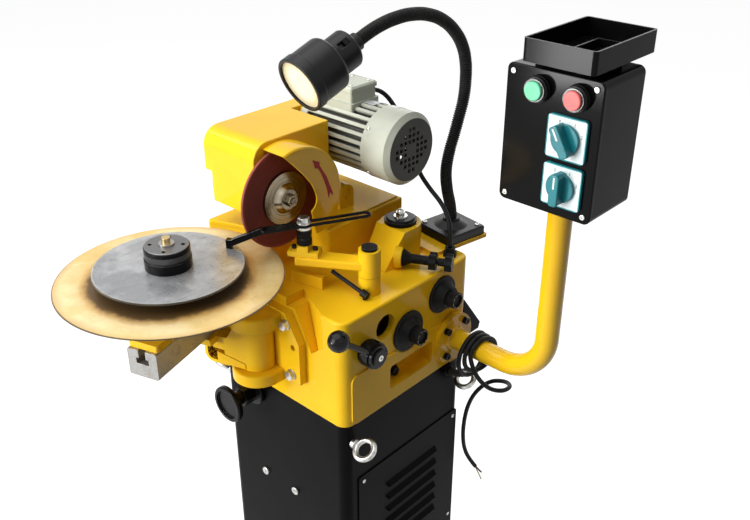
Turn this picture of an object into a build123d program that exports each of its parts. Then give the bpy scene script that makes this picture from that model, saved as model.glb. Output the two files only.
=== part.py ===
# Saw blade sharpener: millimetres, +Z up, front -Y, control side +X.
# Origin: centre of the cabinet's base on the floor.
import os
from math import atan2, cos, degrees, hypot, pi, radians, sin, sqrt, tan

from build123d import *

# Clearances
run_fit = 0.05
free_gap = 0.3
slide_gap = 0.1

# Cabinet
cab_w, cab_h, cab_wall, cab_corner = 306.0, 720.0, 3.0, 18.0
foot_w, foot_t = 350.0, 8.0
anchor_inset, anchor_r = 11.0, 7.0
cab_window = 236.0
panel_y, panel_top, panel_h, panel_t = (-124.0, 144.0), 126.0, 520.0, 2.0
panel_inset, panel_lap = 12.0, 22.0
louvre_y, louvre_top, louvre_pitch, louvre_count = (-50.0, 83.0), 190.0, 29.0, 6
louvre_h, louvre_out, louvre_slot = 11.0, 6.0, 4.0
rear_cover_w, rear_cover_z, rear_cover_out = 300.0, (22.0, 104.0), 52.0
panel_screw_r, front_screw_r, lid_screw_r, lamp_screw_r = 3.6, 8.0, 4.2, 4.2
pan_rise, pan_shank, pan_len, pan_slot = 0.55, 2.2, 9.0, 1.1
front_screw_x, front_screw_drop = (-55.5, 24.0), 213.0
eye_y, eye_drop, eye_ring_r, eye_wire_r = 134.0, 42.0, 16.5, 5.0
eye_collar_r, eye_collar_h, eye_shank_r, eye_tilt = 9.0, 6.0, 5.0, 35.0

# Main body
body_w, body_h, body_wall, body_corner, body_edge = 316.0, 198.0, 12.0, 20.0, 4.0
pad_front, pad_top, pad_t = -142.0, 95.0, 2.5
port_y, port_z, port_r = -62.0, 153.5, 21.5
recess_y, recess_z, recess_deep, liner = (-52.0, 56.0), (27.0, 71.0), 25.0, 7.0
pocket_x, pocket_deep = (31.0, 112.0), 38.0
pocket_low, pocket_lip = (86.0, 117.0), (51.0, 187.0)
tower_x, tower_y, tower_r, tower_h = 58.0, 86.0, 36.0, 57.0
ramp_foot_x, ramp_foot_y, ramp_foot_h, ramp_top = (40.0, 92.0), 10.0, 3.0, 28.5
cap_r, cap_t, cap_step, cap_nut_af, cap_nut_h = 28.0, 7.0, 3.0, 15.0, 9.0
ear_at, ear_len, ear_t, ear_h, ear_turn, ear_lip = (25.0, -106.0), 62.0, 4.0, 22.0, 12.5, 9.0
web_x, web_z = (60.0, 72.0), (18.0, 105.0)
gland_at, gland_r, gland_h = (133.0, 131.0), 11.0, 17.0
lamp_at, lamp_turn, lamp_plate, lamp_plate_t = (83.0, 196.0), -9.0, 94.0, 6.0
lamp_plate_tail = 60.0

# Head base and head
base_x, base_y, base_h = (-181.0, 5.0), (-150.0, 153.0), 64.0
base_wall, base_sheet, sheet_inset = 12.0, 3.0, 7.0
notch_x, notch_back, blade_room = -62.0, -34.0, 9.0
pivot_y, pivot_rise, pivot_r, pivot_hub_r = 51.0, 28.0, 8.0, 17.0
ear_x_right, ear_x_left = (-54.0, -36.0), (-152.0, -134.0)
blade_rise, wheel_rise = 54.0, 82.5
wheel_r, wheel_t, wheel_x, wheel_y = 85.0, 5.0, -31.0, -98.0
wheel_bore_r, tooth_gap = 10.0, 3.5
cover_x, cover_back, cover_front, cover_t = (-164.0, -40.0), 14.0, 50.0, 2.5
cover_below, cover_above, cover_round, cover_crease = 24.0, 98.0, 30.0, 2.0
strip_w, strip_back, notch_w, notch_h, notch_deep = 35.0, 128.0, 17.0, 52.0, 16.0
guard_x, guard_r, guard_t, guard_edge = 8.0, 93.0, 3.0, 5.0
guard_open = (
    (-44.0, 102.0), (-31.0, 89.0), (-8.0, 66.0), (6.0, 51.0),
    (22.0, 32.0), (33.0, 13.0), (37.0, -6.0), (25.0, -22.0),
)
guard_end = ((34.0, -64.0), (110.0, -60.0), (110.0, 110.0))
spindle_r, bearing_r, bearing_w, housing_r = 12.0, 20.0, 14.0, 30.0
housing_x = (-126.0, -54.0)
flange_r, flange_t, cone_r, cone_len, nut_af, nut_len, tip_r = 44.0, 6.0, 17.0, 8.0, 18.0, 9.0, 5.0
pulley_x, spindle_pulley_r, motor_pulley_r = (-156.0, -138.0), 44.0, 24.0
groove_w, groove_deep, belt_thick = 10.0, 6.0, 7.0
motor_y, motor_lift, motor_r, motor_core_r, fin_count = 80.0, 60.0, 59.0, 49.0, 26
fin_share = 0.42
motor_x, cowl_x, cowl_r, cowl_t = (-124.0, 30.0), (27.0, 85.0), 61.0, 2.0
rotor_r, rotor_bore_gap, grille_reach, grille_pitch, grille_hole = 36.0, 0.6, 41.0, 10.0, 6.4
grille_hub = 8.0
tbox_x, tbox_y, tbox_h, tbox_lid = (-76.0, -21.0), (50.0, 110.0), 37.0, 9.0
tbox_flange, tbox_flange_h, tbox_lap = 4.0, 1.5, 2.0

# Carriage
column_x, column_y, column_r, sleeve_r = -12.0, -188.0, 15.0, 29.0
bracket_t, bracket_half, bracket_z, bracket_cut_z = 14.0, 84.0, (54.0, 181.0), 131.0
bracket_top_half, lug_r, lug_low, lug_high = 54.0, 44.0, (48.0, 69.0), (150.0, 177.0)
bolt_at = ((55.0, 160.0), (64.0, 68.0))
bolt_r, bolt_head_af, bolt_head_h, washer_r, washer_t, bracket_hole_r = 5.0, 15.0, 7.0, 9.5, 2.0, 5.0
swivel, bar_offset, bar_w, bar_h, bar_top = 17.7, 93.0, 54.0, 47.0, 170.0
bar_front, bar_back = -172.0, 26.0
slot_w, slot_deep, tee_w, tee_h = 13.0, 14.0, 23.0, 10.0
arm_end_x, arm_end_h, arm_end_round, arm_end_deep, arm_end_rim = (-92.0, -46.0), 62.0, 18.0, 14.0, 6.0
slide_t, slide_front, slide_behind, pedestal_r = 12.0, 5.0, 46.0, 33.0
blade_r, blade_t, blade_teeth, tooth_h = 175.0, 2.5, 320, 2.8
index_r, index_t, index_tooth_h, index_rise = 115.0, 3.5, 1.8, 20.0
arbour_r, arbour_flange_r, spigot_r, stud_r = 15.0, 36.0, 16.0, 12.0
nut_ring_r, nut_ring_h, nut_groove, pin_hole_r, pin_hole_at = 36.0, 18.0, 1.6, 3.5, 25.0

# Feed
link_x, link_y, boss_r, boss_h, link_hub_h, link_shaft_r = 114.0, -52.0, 18.0, 31.0, 45.0, 9.0
post_x, post_y, link_z, link_w, link_edge = 24.0, -107.0, (43.0, 57.0), 31.0, 3.0
crank_len, crank_w, crank_hub_r, crank_z, crank_turn = 84.0, 18.0, 14.0, (108.0, 122.0), -4.0
block_l, block_w, block_t, block_mid, block_mid_h = 50.0, 27.0, 9.0, 18.0, 10.0
post_r, collar_r, collar_h, stud_pawl_r = 7.0, 11.0, 16.0, 3.2
pawl_z, pawl_t, pawl_w, pawl_slot = 110.0, 4.0, 19.0, 11.0
pawl_dir, pawl_back, pawl_ahead = 63.2, 112.0, 70.0
finger_w, finger_h, tip_x, tip_y, hook_h = 9.0, 10.0, -52.0, -197.0, 15.0
stop_rod_a, stop_rod_b, stop_rod_r, stop_head_r = (58.0, -80.0, 27.0), (126.0, -76.0, 9.0), 3.5, 6.5
cam_y, cam_z, cam_r, cam_offset, cam_shaft_r = -40.0, 60.0, 22.0, 8.0, 10.0
cam_ends, cam_lift_x, cam_feed_x, cam_w = (-144.0, 75.0), -95.0, 30.0, 20.0
lift_r, lift_pad = 7.0, 10.0
gear_x, gear_r, gear_box = (77.0, 121.0), 34.0, 62.0

# Hand controls
lever_y, lever_z, lever_rod_at = -108.0, 131.0, 20.0
lever_steps = ((20.0, 6.0), (22.5, 16.0), (20.0, 6.0), (15.0, 4.0))
lever_rod_r, lever_ball_r, lever_ball_y, lever_ball_z, lever_ball_out = 5.0, 17.0, -186.0, 194.0, 18.0
dial_shaft_r, dial_in = 9.0, 30.0
low_dial, high_dial = (-7.5, 121.0), (80.0, 153.0)
dial_flange_r, dial_flange_t, dial_cone_r, dial_cone_l = (36.0, 34.0), 4.0, (27.0, 19.0), (13.0, 15.0)
dial_tip_r, dial_tip_l, dial_dish_r, dial_dish = 14.5, 16.0, 11.0, 3.0
screw_at, screw_z, screw_turn, screw_r = (101.3, 43.7), 19.0, 28.0, 4.0
boss_screw_r, boss_screw_l, boot_r, boot_l = (20.0, 17.0), 12.0, 15.0, 14.0
star_r, star_t, star_points, star_near, star_far = 17.0, 12.0, 7, 51.5, 78.5
hand_x, hand_drop, hand_r, hand_reach, hand_shaft_r = -73.0, 35.0, 34.0, 64.0, 8.0
hand_flange_r, hand_flange_t, hand_hex, hand_hex_l, hand_neck_r = 27.0, 8.0, 32.0, 24.0, 13.0
hand_rim, hand_disc_t, hand_dish = 7.0, 12.0, 3.5

# Control arm, box and tray
arm_y, arm_z, arm_r, arm_wall, arm_bend, arm_x = 108.0, 56.0, 19.0, 3.0, 80.0, 353.0
flange_arm_r, flange_arm_t, flange_screw_at, flange_screw_r = 47.0, 12.0, 36.0, 4.0
box_x, box_y, box_z = (288.0, 438.0), (38.0, 143.0), (389.0, 590.0)
box_wall, box_corner, lid_t, lid_edge, lid_screw_inset, post_box_r = 3.0, 10.0, 6.0, 2.0, 11.0, 8.5
button_x, button_z, button_r, button_out, button_travel = (342.0, 402.0), 563.0, 13.0, 19.0, 4.0
collar_button_r, collar_button_h, bezel_r, bezel_h = 17.2, 10.0, 15.8, 5.0
switch_x, switch_z, switch_plate, switch_plate_t = 392.0, (505.0, 436.0), 61.0, 5.0
switch_r, switch_disc, switch_shaft_r, switch_in = 21.0, 5.0, 5.0, 20.0
handle_l, handle_w, handle_h, switch_turn = 46.0, 14.0, 15.0, (30.0, 0.0)
tray_x, tray_y, tray_h, tray_wall, tray_corner = (320.0, 430.0), (21.0, 180.0), 31.0, 3.0, 6.0
tray_ridge_x, tray_ridge_y, tray_ridge_h = 365.0, 139.0, 12.0
tray_neck, tray_neck_h = 84.0, 10.0

# Lamp
lamp_base_w, lamp_base_h, lamp_neck_r, lamp_neck_h = 88.0, 16.0, 15.0, 14.0
lamp_cone_r, lamp_cone_h = 30.0, 9.0
goose_r, goose_root_r, goose_ribs = 10.4, 8.8, 150
goose_heading = 84.0
goose_path = (
    (-4.0, 257.0), (-14.0, 293.0), (-18.0, 328.0), (-12.0, 361.0), (-2.0, 389.0), (8.0, 419.0),
    (17.0, 449.0), (20.0, 480.0), (18.0, 511.0), (8.0, 541.0), (-11.0, 567.0), (-37.0, 588.0),
    (-68.0, 602.0), (-105.0, 609.0), (-140.0, 608.5), (-172.0, 603.0), (-196.0, 595.5),
)
lamp_collar = (-216.5, 587.0)
lamp_socket_r, lamp_socket_l, lamp_rear_r, lamp_rear_l, lamp_rear_edge = 14.0, 16.0, 30.0, 38.0, 5.0
lamp_barrel_r, lamp_barrel_l, lamp_barrel_edge, bezel_lamp_r, bezel_lamp_l = 42.0, 48.0, 8.0, 43.5, 16.0
lens_r, lens_t, lens_in, reflector_l = 37.0, 4.0, 4.0, 40.0
lamp_well_w, lamp_well_l, lamp_well_deep, lamp_well_turn = 10.0, 20.0, 6.0, 50.0
lamp_slider_l = 9.0

# Cables
cable_r = 4.0
motor_cable_path = (
    (-45, 111, 460), (-43, 130, 458), (-35, 148, 447), (-20, 157, 425), (0, 158, 394), (20, 155, 360),
    (42, 151, 322), (70, 149, 299), (98, 147, 282), (118, 142, 262), (129, 135, 240), (133, 131, 216),
)
mains_gland = (108.0, -18.0)
mains_rise = ((174, 108, -18), (192, 116, -19), (203, 134, -11), (205, 147, 11))
loop_r, loop_turns, loop_steps, loop_rest = (44.0, 28.0), 2.5, 16, 25.0
loop_x, loop_tilt = (207.0, 234.0), 9.0
mains_tail = (
    (236, 79, 30), (245, 88, 8), (258, 101, -9), (271, 120, -16), (271, 143, -20), (255, 160, -27),
    (232, 168, -38), (209, 170, -52), (190, 168, -74), (176, 165, -99), (167, 162, -129), (163, 160, -162),
    (162, 160, -196), (164, 163, -228), (171, 171, -257), (181, 182, -279),
)

# Worked-out places
body_top = cab_h + body_h
side = body_w / 2
cab_side = cab_w / 2
base_top = body_top + base_h
blade_z = body_top + blade_rise
wheel_z = blade_z + wheel_rise
pivot_z = base_top + pivot_rise
motor_z = wheel_z + motor_lift
wheel_mid = wheel_x - wheel_t / 2
turn = radians(swivel)
along = Vector(-sin(turn), cos(turn))
across = Vector(cos(turn), sin(turn))
rim = Vector(wheel_mid, wheel_y - sqrt(wheel_r**2 - (wheel_rise - blade_t / 2) ** 2) - tooth_gap)
reach = Vector(column_x, column_y) - across * bar_offset - rim
blade_at = reach.dot(along) + sqrt(blade_r**2 - reach.dot(across) ** 2)
blade_c = Vector(column_x, column_y) - across * bar_offset - along * blade_at
index_z = blade_z + index_rise
bar_z = cab_h + bar_top
cover_y = (wheel_y - cover_front, cover_back)
cover_z = (wheel_z - cover_below, wheel_z + cover_above)
tower_top = body_top + tower_h
screw_dir = radians(screw_turn)
anchor_pitch = foot_w - 2 * anchor_inset
box_mid = (box_x[0] + box_x[1]) / 2
lid_y = box_y[0]
tray_z = cab_h + box_z[1] + tray_neck_h
lamp_base_z = body_top + lamp_plate_t
goose_turn = radians(goose_heading)


def block(x, y, z):
    centre = Pos((x[0] + x[1]) / 2, (y[0] + y[1]) / 2, (z[0] + z[1]) / 2)
    return centre * Box(x[1] - x[0], y[1] - y[0], z[1] - z[0])


def rod_x(r, x, y, z):
    return Pos((x[0] + x[1]) / 2, y, z) * Rot(0, 90, 0) * Cylinder(r, x[1] - x[0])


def rod_y(r, x, y, z):
    return Pos(x, (y[0] + y[1]) / 2, z) * Rot(90, 0, 0) * Cylinder(r, y[1] - y[0])


def rod_z(r, x, y, z):
    return Pos(x, y, (z[0] + z[1]) / 2) * Cylinder(r, z[1] - z[0])


def prism(points, direction, length):
    return extrude(make_face(Polyline(*points, close=True)), amount=length, dir=direction)


def prism_x(points, x):
    return prism([(x[0], y, z) for y, z in points], (1, 0, 0), x[1] - x[0])


def prism_y(points, y):
    return prism([(x, y[0], z) for x, z in points], (0, 1, 0), y[1] - y[0])


def prism_z(points, z):
    return prism([(x, y, z[0]) for x, y in points], (0, 0, 1), z[1] - z[0])


def rounded(part, axis, r):
    return fillet(part.edges().filter_by(axis), r)


def ring_points(count, r, inner, share=0.5):
    points = []
    for i in range(count):
        for step, radius in ((0, r), (share, inner)):
            a = 2 * pi * (i + step) / count
            points.append((radius * cos(a), radius * sin(a)))
    return points


def hexagon(across_flats):
    r = across_flats / sqrt(3)
    return [(r * cos(pi * i / 3), r * sin(pi * i / 3)) for i in range(6)]


def right_face(y, z, x):
    return Plane(origin=(x, y, z), x_dir=(0, 1, 0), z_dir=(1, 0, 0))


def left_face(y, z, x):
    return Plane(origin=(x, y, z), x_dir=(0, -1, 0), z_dir=(-1, 0, 0))


def front_face(x, z, y):
    return Plane(origin=(x, y, z), x_dir=(1, 0, 0), z_dir=(0, -1, 0))


def stack(steps, low=0.0):
    part = Part()
    for r, h in steps:
        part += Pos(0, 0, low + h / 2) * Cylinder(r, h)
        low += h
    return part


def pan_screw(r):
    h = pan_rise * r
    head = fillet(stack(((r, h),)).edges().group_by(Axis.Z)[-1], h * 0.45)
    cross = Box(r * 1.1, pan_slot, h) + Box(pan_slot, r * 1.1, h)
    return head + stack(((pan_shank, pan_len),), -pan_len) - Pos(0, 0, h) * cross


def socket_screw(r, length):
    key = prism_z(hexagon(r * 1.5), (r * 0.9, r * 2.5))
    return stack(((r * 1.6, r * 2),)) - key + stack(((r, length),), -length)


def hole(r, deep):
    return Pos(0, 0, -deep / 2) * Cylinder(r, deep + 1)


# Places of the screws on the cabinet and the boxes
panel_rows = [cab_h - panel_top - panel_inset - i * (panel_h / 2 - panel_inset) for i in range(3)]
panel_screws = [
    right_face(y, z, cab_side + panel_t)
    for y in (panel_y[0] + panel_inset, panel_y[1] - panel_inset)
    for z in panel_rows
]
front_screws = [front_face(x, cab_h - front_screw_drop, -cab_side) for x in front_screw_x]
lid_screws = [
    front_face(x, cab_h + z, lid_y)
    for x in (box_x[0] + lid_screw_inset, box_x[1] - lid_screw_inset)
    for z in (box_z[0] + lid_screw_inset, box_z[1] - lid_screw_inset)
]
lamp_frame = Pos(*lamp_at, lamp_base_z) * Rot(0, 0, lamp_turn)
lamp_screw_at = lamp_base_w / 2 - lid_screw_inset
lamp_screws = [
    lamp_frame * Pos(sx * lamp_screw_at, sy * lamp_screw_at, lamp_base_h) for sx in (-1, 1) for sy in (-1, 1)
]
bracket_front = -side - bracket_t
bracket_bolts = [
    front_face(column_x + s * x, cab_h + z, bracket_front) for s in (-1, 1) for x, z in bolt_at
]
eyes = [right_face(y, cab_h - eye_drop, cab_side) for y in (-eye_y, eye_y)]
eyes += [left_face(y, cab_h - eye_drop, -cab_side) for y in (-eye_y, eye_y)]
flange_screws = [
    right_face(arm_y, cab_h + arm_z, side + flange_arm_t) * Rot(0, 0, a) * Pos(flange_screw_at, 0, 0)
    for a in (45, 135, 225, 315)
]
mains_gland_face = right_face(mains_gland[0], cab_h + mains_gland[1], cab_side)


# Cabinet and what is screwed to it
def cabinet():
    outer = rounded(block((-cab_side, cab_side), (-cab_side, cab_side), (0, cab_h)), Axis.Z, cab_corner)
    inner = cab_side - cab_wall
    room = block((-inner, inner), (-inner, inner), (foot_t, cab_h - cab_wall))
    part = outer - rounded(room, Axis.Z, cab_corner - cab_wall)
    foot = block((-foot_w / 2, foot_w / 2), (-foot_w / 2, foot_w / 2), (0, foot_t))
    part += rounded(foot, Axis.Z, cab_corner)
    half = anchor_pitch / 2
    part -= [rod_z(anchor_r, x, y, (-1, foot_t + 1)) for x in (-half, half) for y in (-half, half)]
    half = cab_window / 2
    part -= block((-half, half), (-half, half), (cab_h - 2 * cab_wall, cab_h + 1))
    y = (panel_y[0] + panel_lap, panel_y[1] - panel_lap)
    z = (cab_h - panel_top - panel_h + panel_lap, cab_h - panel_top - panel_lap)
    part -= block((inner - 1, cab_side + 1), y, z)
    part -= [place * hole(pan_shank + slide_gap, pan_len) for place in panel_screws + front_screws]
    part -= [place * hole(eye_shank_r + slide_gap, 3 * cab_wall) for place in eyes]
    part -= front_face(hand_x, cab_h - hand_drop, -cab_side) * hole(hand_shaft_r + run_fit, 3 * cab_wall)
    part -= mains_gland_face * hole(cable_r + free_gap, 3 * cab_wall)
    return part


def cabinet_covers():
    x = (cab_side, cab_side + panel_t)
    panel = block(x, panel_y, (cab_h - panel_top - panel_h, cab_h - panel_top))
    panel = rounded(panel, Axis.X, panel_inset / 2)
    for row in range(louvre_count):
        z = cab_h - louvre_top - row * louvre_pitch
        panel -= block((x[0] - 1, x[1] + 1), louvre_y, (z - louvre_slot, z))
        root, tip = x[0] + panel_t / 2, x[1] + louvre_out
        hood = [(root, z), (tip, z - 1), (tip, z), (x[1], z + louvre_h), (root, z + louvre_h)]
        panel += prism_y(hood, louvre_y)
    panel -= [place * hole(pan_shank + slide_gap, pan_len) for place in panel_screws]
    low, high = cab_h + rear_cover_z[0], cab_h + rear_cover_z[1]
    out = side + rear_cover_out
    outline = [(side, low), (out - 4, low), (out, low + 12), (side, high)]
    rear = prism_x(outline, (-rear_cover_w / 2, rear_cover_w / 2))
    inner = [(side - 1, low + 3), (out - 6, low + 3), (out - 4, low + 12), (side - 1, high - 4)]
    rear -= prism_x(inner, (3 - rear_cover_w / 2, rear_cover_w / 2 - 3))
    return Compound([panel.solid(), rear.solid()])


def zinc_fasteners():
    head = prism_z(hexagon(bolt_head_af), (washer_t, washer_t + bolt_head_h))
    bolt = stack(((washer_r, washer_t),)) + head + stack(((bolt_r, bracket_t - 1),), 1 - bracket_t)
    solids = [place * bolt for place in bracket_bolts]
    rows = (panel_screws, panel_screw_r), (front_screws, front_screw_r)
    rows += (lid_screws, lid_screw_r), (lamp_screws, lamp_screw_r)
    for places, r in rows:
        solids += [place * pan_screw(r) for place in places]
    return Compound([part.solid() for part in solids])


def eyebolts():
    centre = eye_collar_h + eye_ring_r + eye_wire_r - 2
    ring = Pos(0, 0, centre) * Rot(0, 0, eye_tilt) * Rot(90, 0, 0) * Torus(eye_ring_r, eye_wire_r)
    length = cab_wall + 8
    eye = ring + stack(((eye_shank_r, length), (eye_collar_r, eye_collar_h)), -length)
    return Compound([(place * eye).solid() for place in eyes])


# Main body casting
def body_pocket():
    front = -side
    left, right = pocket_x
    plan = [(left, front - 1), (left, front + pocket_deep), (right, front + 2), (right, front - 1)]
    cut = prism_z(plan, (cab_h + pocket_low[1] - 5, body_top + 1))
    low_x, low_z = pocket_low
    lip_x, lip_z = pocket_lip
    edge = pocket_x[1]
    outline = [(pocket_x[0], body_h + 2), (edge - 6, body_h + 2), (edge, body_h - 18), (edge, low_z + 22)]
    outline += [(low_x, low_z), (lip_x, lip_z), (pocket_x[0], lip_z - 3)]
    shape = prism_y([(x, cab_h + z) for x, z in outline], (front - 2, front + pocket_deep + 1))
    return cut & shape


def stroke_housing():
    tower = rod_z(tower_r, tower_x, tower_y, (body_top - 1, tower_top))
    left, right = tower_x - tower_r, tower_x + tower_r
    plan = [(left, tower_y), (ramp_foot_x[0], ramp_foot_y), (ramp_foot_x[1], ramp_foot_y), (right, tower_y)]
    tower += prism_z(plan, (body_top - 1, tower_top))
    top_y = tower_y - ramp_top
    slope = [(ramp_foot_y, body_top + ramp_foot_h), (top_y, tower_top), (top_y, tower_top + 1)]
    slope += [(ramp_foot_y - 1, tower_top + 1), (ramp_foot_y - 1, body_top + ramp_foot_h)]
    tower -= prism_x(slope, (left - 1, right + 1))
    cone = Pos(0, 0, -boss_screw_l / 2) * Cone(*boss_screw_r, boss_screw_l)
    boss = screw_frame() * cone - block((0, side), (0, side), (cab_h, body_top - 1))
    return tower + boss


def main_body():
    outer = rounded(block((-side, side), (-side, side), (cab_h, body_top)), Axis.Z, body_corner)
    outer = fillet(outer.edges().group_by(Axis.Z)[-1], body_edge)
    inner = side - body_wall
    part = outer - block((-inner, inner), (-inner, inner), (cab_h - 1, body_top - body_wall))
    pad = block((side - 1, side + pad_t), (pad_front, side - body_corner), (cab_h + 1, cab_h + pad_top))
    room = rod_x(dial_flange_r[0] + 2, (side, side + 9), low_dial[0], cab_h + low_dial[1])
    part += rounded(pad, Axis.X, 12) - room
    x = (pocket_x[0] - liner, pocket_x[1] + liner)
    part += block(x, (1 - side, pocket_deep + liner - side), (cab_h + pocket_low[1] - liner, body_top - 1))
    part -= body_pocket()
    y = (recess_y[0] - liner, recess_y[1] + liner)
    z = (cab_h + recess_z[0] - liner, cab_h + recess_z[1] + liner)
    part += block((side - recess_deep - liner, side - 1), y, z)
    z = (cab_h + recess_z[0], cab_h + recess_z[1])
    part -= rounded(block((side - recess_deep, side + 9), recess_y, z), Axis.X, 6)
    part += block(web_x, (-inner - 1, inner + 1), (cab_h + web_z[0], cab_h + web_z[1]))
    part += rod_x(2.2 * cam_shaft_r, (-inner - 1, cam_ends[0] + 14), cam_y, cab_h + cam_z)
    part -= rod_x(cam_shaft_r + run_fit, (cam_ends[0] - free_gap, web_x[1] + 1), cam_y, cab_h + cam_z)
    part += stroke_housing()
    part += rod_z(boss_r, link_x, link_y, (body_top - 1, body_top + boss_h))
    part -= rod_z(link_shaft_r + run_fit, link_x, link_y, (body_top - 40, body_top + boss_h + 1))
    plate = Box(ear_len, ear_t, ear_h) + Pos(0, ear_lip / 2, ear_h / 2 - 1) * Box(ear_len, ear_lip, 2)
    part += Pos(*ear_at, body_top + ear_h / 2 - 1) * Rot(0, 0, ear_turn) * plate
    half = lamp_plate / 2
    plate = block((-half, half), (-lamp_plate_tail - 20, half), (-lamp_plate_t, 0))
    plate = rounded(plate, Axis.Z, 5)
    part += lamp_frame * plate
    part -= rod_x(port_r, (inner - 1, side + 9), port_y, cab_h + port_z)
    for y, z in (low_dial, high_dial, (lever_y, lever_z)):
        part -= rod_x(dial_shaft_r + run_fit, (inner - 1, side + 9), y, cab_h + z)
    part -= rod_z(lift_r + run_fit, cam_lift_x, cam_y, (body_top - 2 * body_wall, body_top + 1))
    part -= screw_frame() * hole(screw_r + run_fit, 22)
    part -= [place * hole(flange_screw_r + slide_gap, 3 * flange_arm_t) for place in flange_screws]
    part -= [place * hole(bolt_r + slide_gap, 3 * bracket_t) for place in bracket_bolts]
    return part


def screw_frame():
    return Pos(*screw_at, body_top + screw_z) * Rot(0, 0, screw_turn) * Rot(0, 90, 0)


def stroke_cap():
    dome = stack(((cap_r, cap_t), (cap_r - cap_step, cap_step)))
    dome = fillet(dome.edges().group_by(Axis.Z)[-1], cap_step * 0.8)
    top = cap_t + cap_step
    nut = prism_z(hexagon(cap_nut_af), (top, top + cap_nut_h)) + stack(((cap_nut_af * 0.8, 2.0),), top)
    nut += Pos(0, 0, top + cap_nut_h) * Sphere(cap_nut_af * 0.4)
    place = Pos(tower_x, tower_y, tower_top)
    return Compound([(place * dome).solid(), (place * nut).solid()])


def cable_glands():
    nut = prism_z(hexagon(2 * gland_r), (0, gland_h * 0.45))
    gland = nut + stack(((gland_r * 0.8, gland_h * 0.55),), gland_h * 0.45)
    gland -= stack(((cable_r + free_gap, gland_h + 2),), -1)
    short = gland - Pos(0, 0, gland_h) * Cylinder(2 * gland_r, gland_h * 0.6)
    places = [Pos(*gland_at, body_top) * gland, mains_gland_face * short]
    return Compound([part.solid() for part in places])


# Head base with the pivot ears
def head_base():
    part = block(base_x, base_y, (body_top, base_top))
    part -= block((notch_x, base_x[1] + 1), (base_y[0] - 1, notch_back), (body_top - 1, base_top + 1))
    part -= rod_z(blade_r + blade_room, blade_c.X, blade_c.Y, (body_top - 1, base_top + 1))
    part = rounded(part, Axis.Z, 5)
    part = fillet(part.faces().sort_by(Axis.Z)[-1].edges(), 3)
    x = (base_x[0] + base_wall, base_x[1] - base_wall)
    y = (notch_back + base_wall, base_y[1] - base_wall)
    part -= block(x, y, (body_top - 1, base_top - base_wall))
    x = (base_x[0] + sheet_inset, base_x[1] - sheet_inset)
    y = (notch_back + sheet_inset, base_y[1] - sheet_inset)
    part += block(x, y, (base_top - 1, base_top + base_sheet))
    for x in (ear_x_right, ear_x_left):
        y = (pivot_y - pivot_hub_r, pivot_y + pivot_hub_r)
        part += block(x, y, (base_top, pivot_z)) + rod_x(pivot_hub_r, x, pivot_y, pivot_z)
        part -= rod_x(pivot_r + run_fit, (x[0] - 1, x[1] + 1), pivot_y, pivot_z)
    part -= rod_z(lift_r + run_fit, cam_lift_x, cam_y, (body_top - 1, base_top + 9))
    return part


# Grinding head
def head_frame():
    ring = rod_x(housing_r, housing_x, wheel_y, wheel_z)
    gap = 2 * free_gap
    x = (ear_x_left[1] + gap, ear_x_right[0] - gap)
    hub = rod_x(pivot_hub_r, x, pivot_y, pivot_z)
    hub += rod_x(pivot_r, (ear_x_left[0] + 2, ear_x_right[1] - 2), pivot_y, pivot_z)
    top, low = wheel_z + 18, pivot_z + 10
    beam = [(wheel_y, top), (pivot_y, pivot_z + 15), (pivot_y, pivot_z - 15)]
    beam += [(cam_y, low), (wheel_y, wheel_z - 24)]
    part = ring + hub + prism_x(beam, (housing_x[0] + 4, housing_x[1] - 4))
    half = motor_core_r - 3
    low_z, high_z = motor_z - half, motor_z + half - 12
    plate = [(motor_y - half, low_z), (motor_y - half, high_z), (motor_y + half, high_z)]
    plate += [(motor_y + half, low_z), (pivot_y + pivot_hub_r, pivot_z), (pivot_y - pivot_hub_r, pivot_z)]
    thick = (motor_x[0] - 4.5, motor_x[0])
    part += prism_x(plate, thick)
    part -= rod_x(rotor_r * 0.6, (thick[0] - 1, thick[1] + 1), motor_y, motor_z)
    x = (cam_lift_x - lift_pad, cam_lift_x + lift_pad)
    part += block(x, (cam_y - lift_pad, cam_y + lift_pad), (low - 4, low + 12))
    part -= rod_x(bearing_r - 3, (housing_x[0] - 1, housing_x[1] + 1), wheel_y, wheel_z)
    for x in bearing_places():
        part -= rod_x(bearing_r, x, wheel_y, wheel_z)
    return part


def bearing_places():
    left, right = housing_x
    return (left - 1, left + bearing_w), (right - bearing_w, right + 1)


def spindle_bearings():
    rings = []
    for x in bearing_places():
        ring = rod_x(bearing_r, x, wheel_y, wheel_z)
        rings.append((ring - rod_x(spindle_r + run_fit, (x[0] - 1, x[1] + 1), wheel_y, wheel_z)).solid())
    return Compound(rings)


def cover_outline(x, y, z):
    part = block(x, y, z)
    bend = part.edges().group_by(Axis.Z)[-1].filter_by(Axis.X).sort_by(Axis.Y)[0]
    part = fillet(bend, cover_round)
    for end in (0, -1):
        edges = part.faces().sort_by(Axis.X)[end].edges()
        part = fillet([e for e in edges if e.center().Z > z[0] + 1 and e.center().Y < y[1] - 1], cover_crease)
    return part


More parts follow.
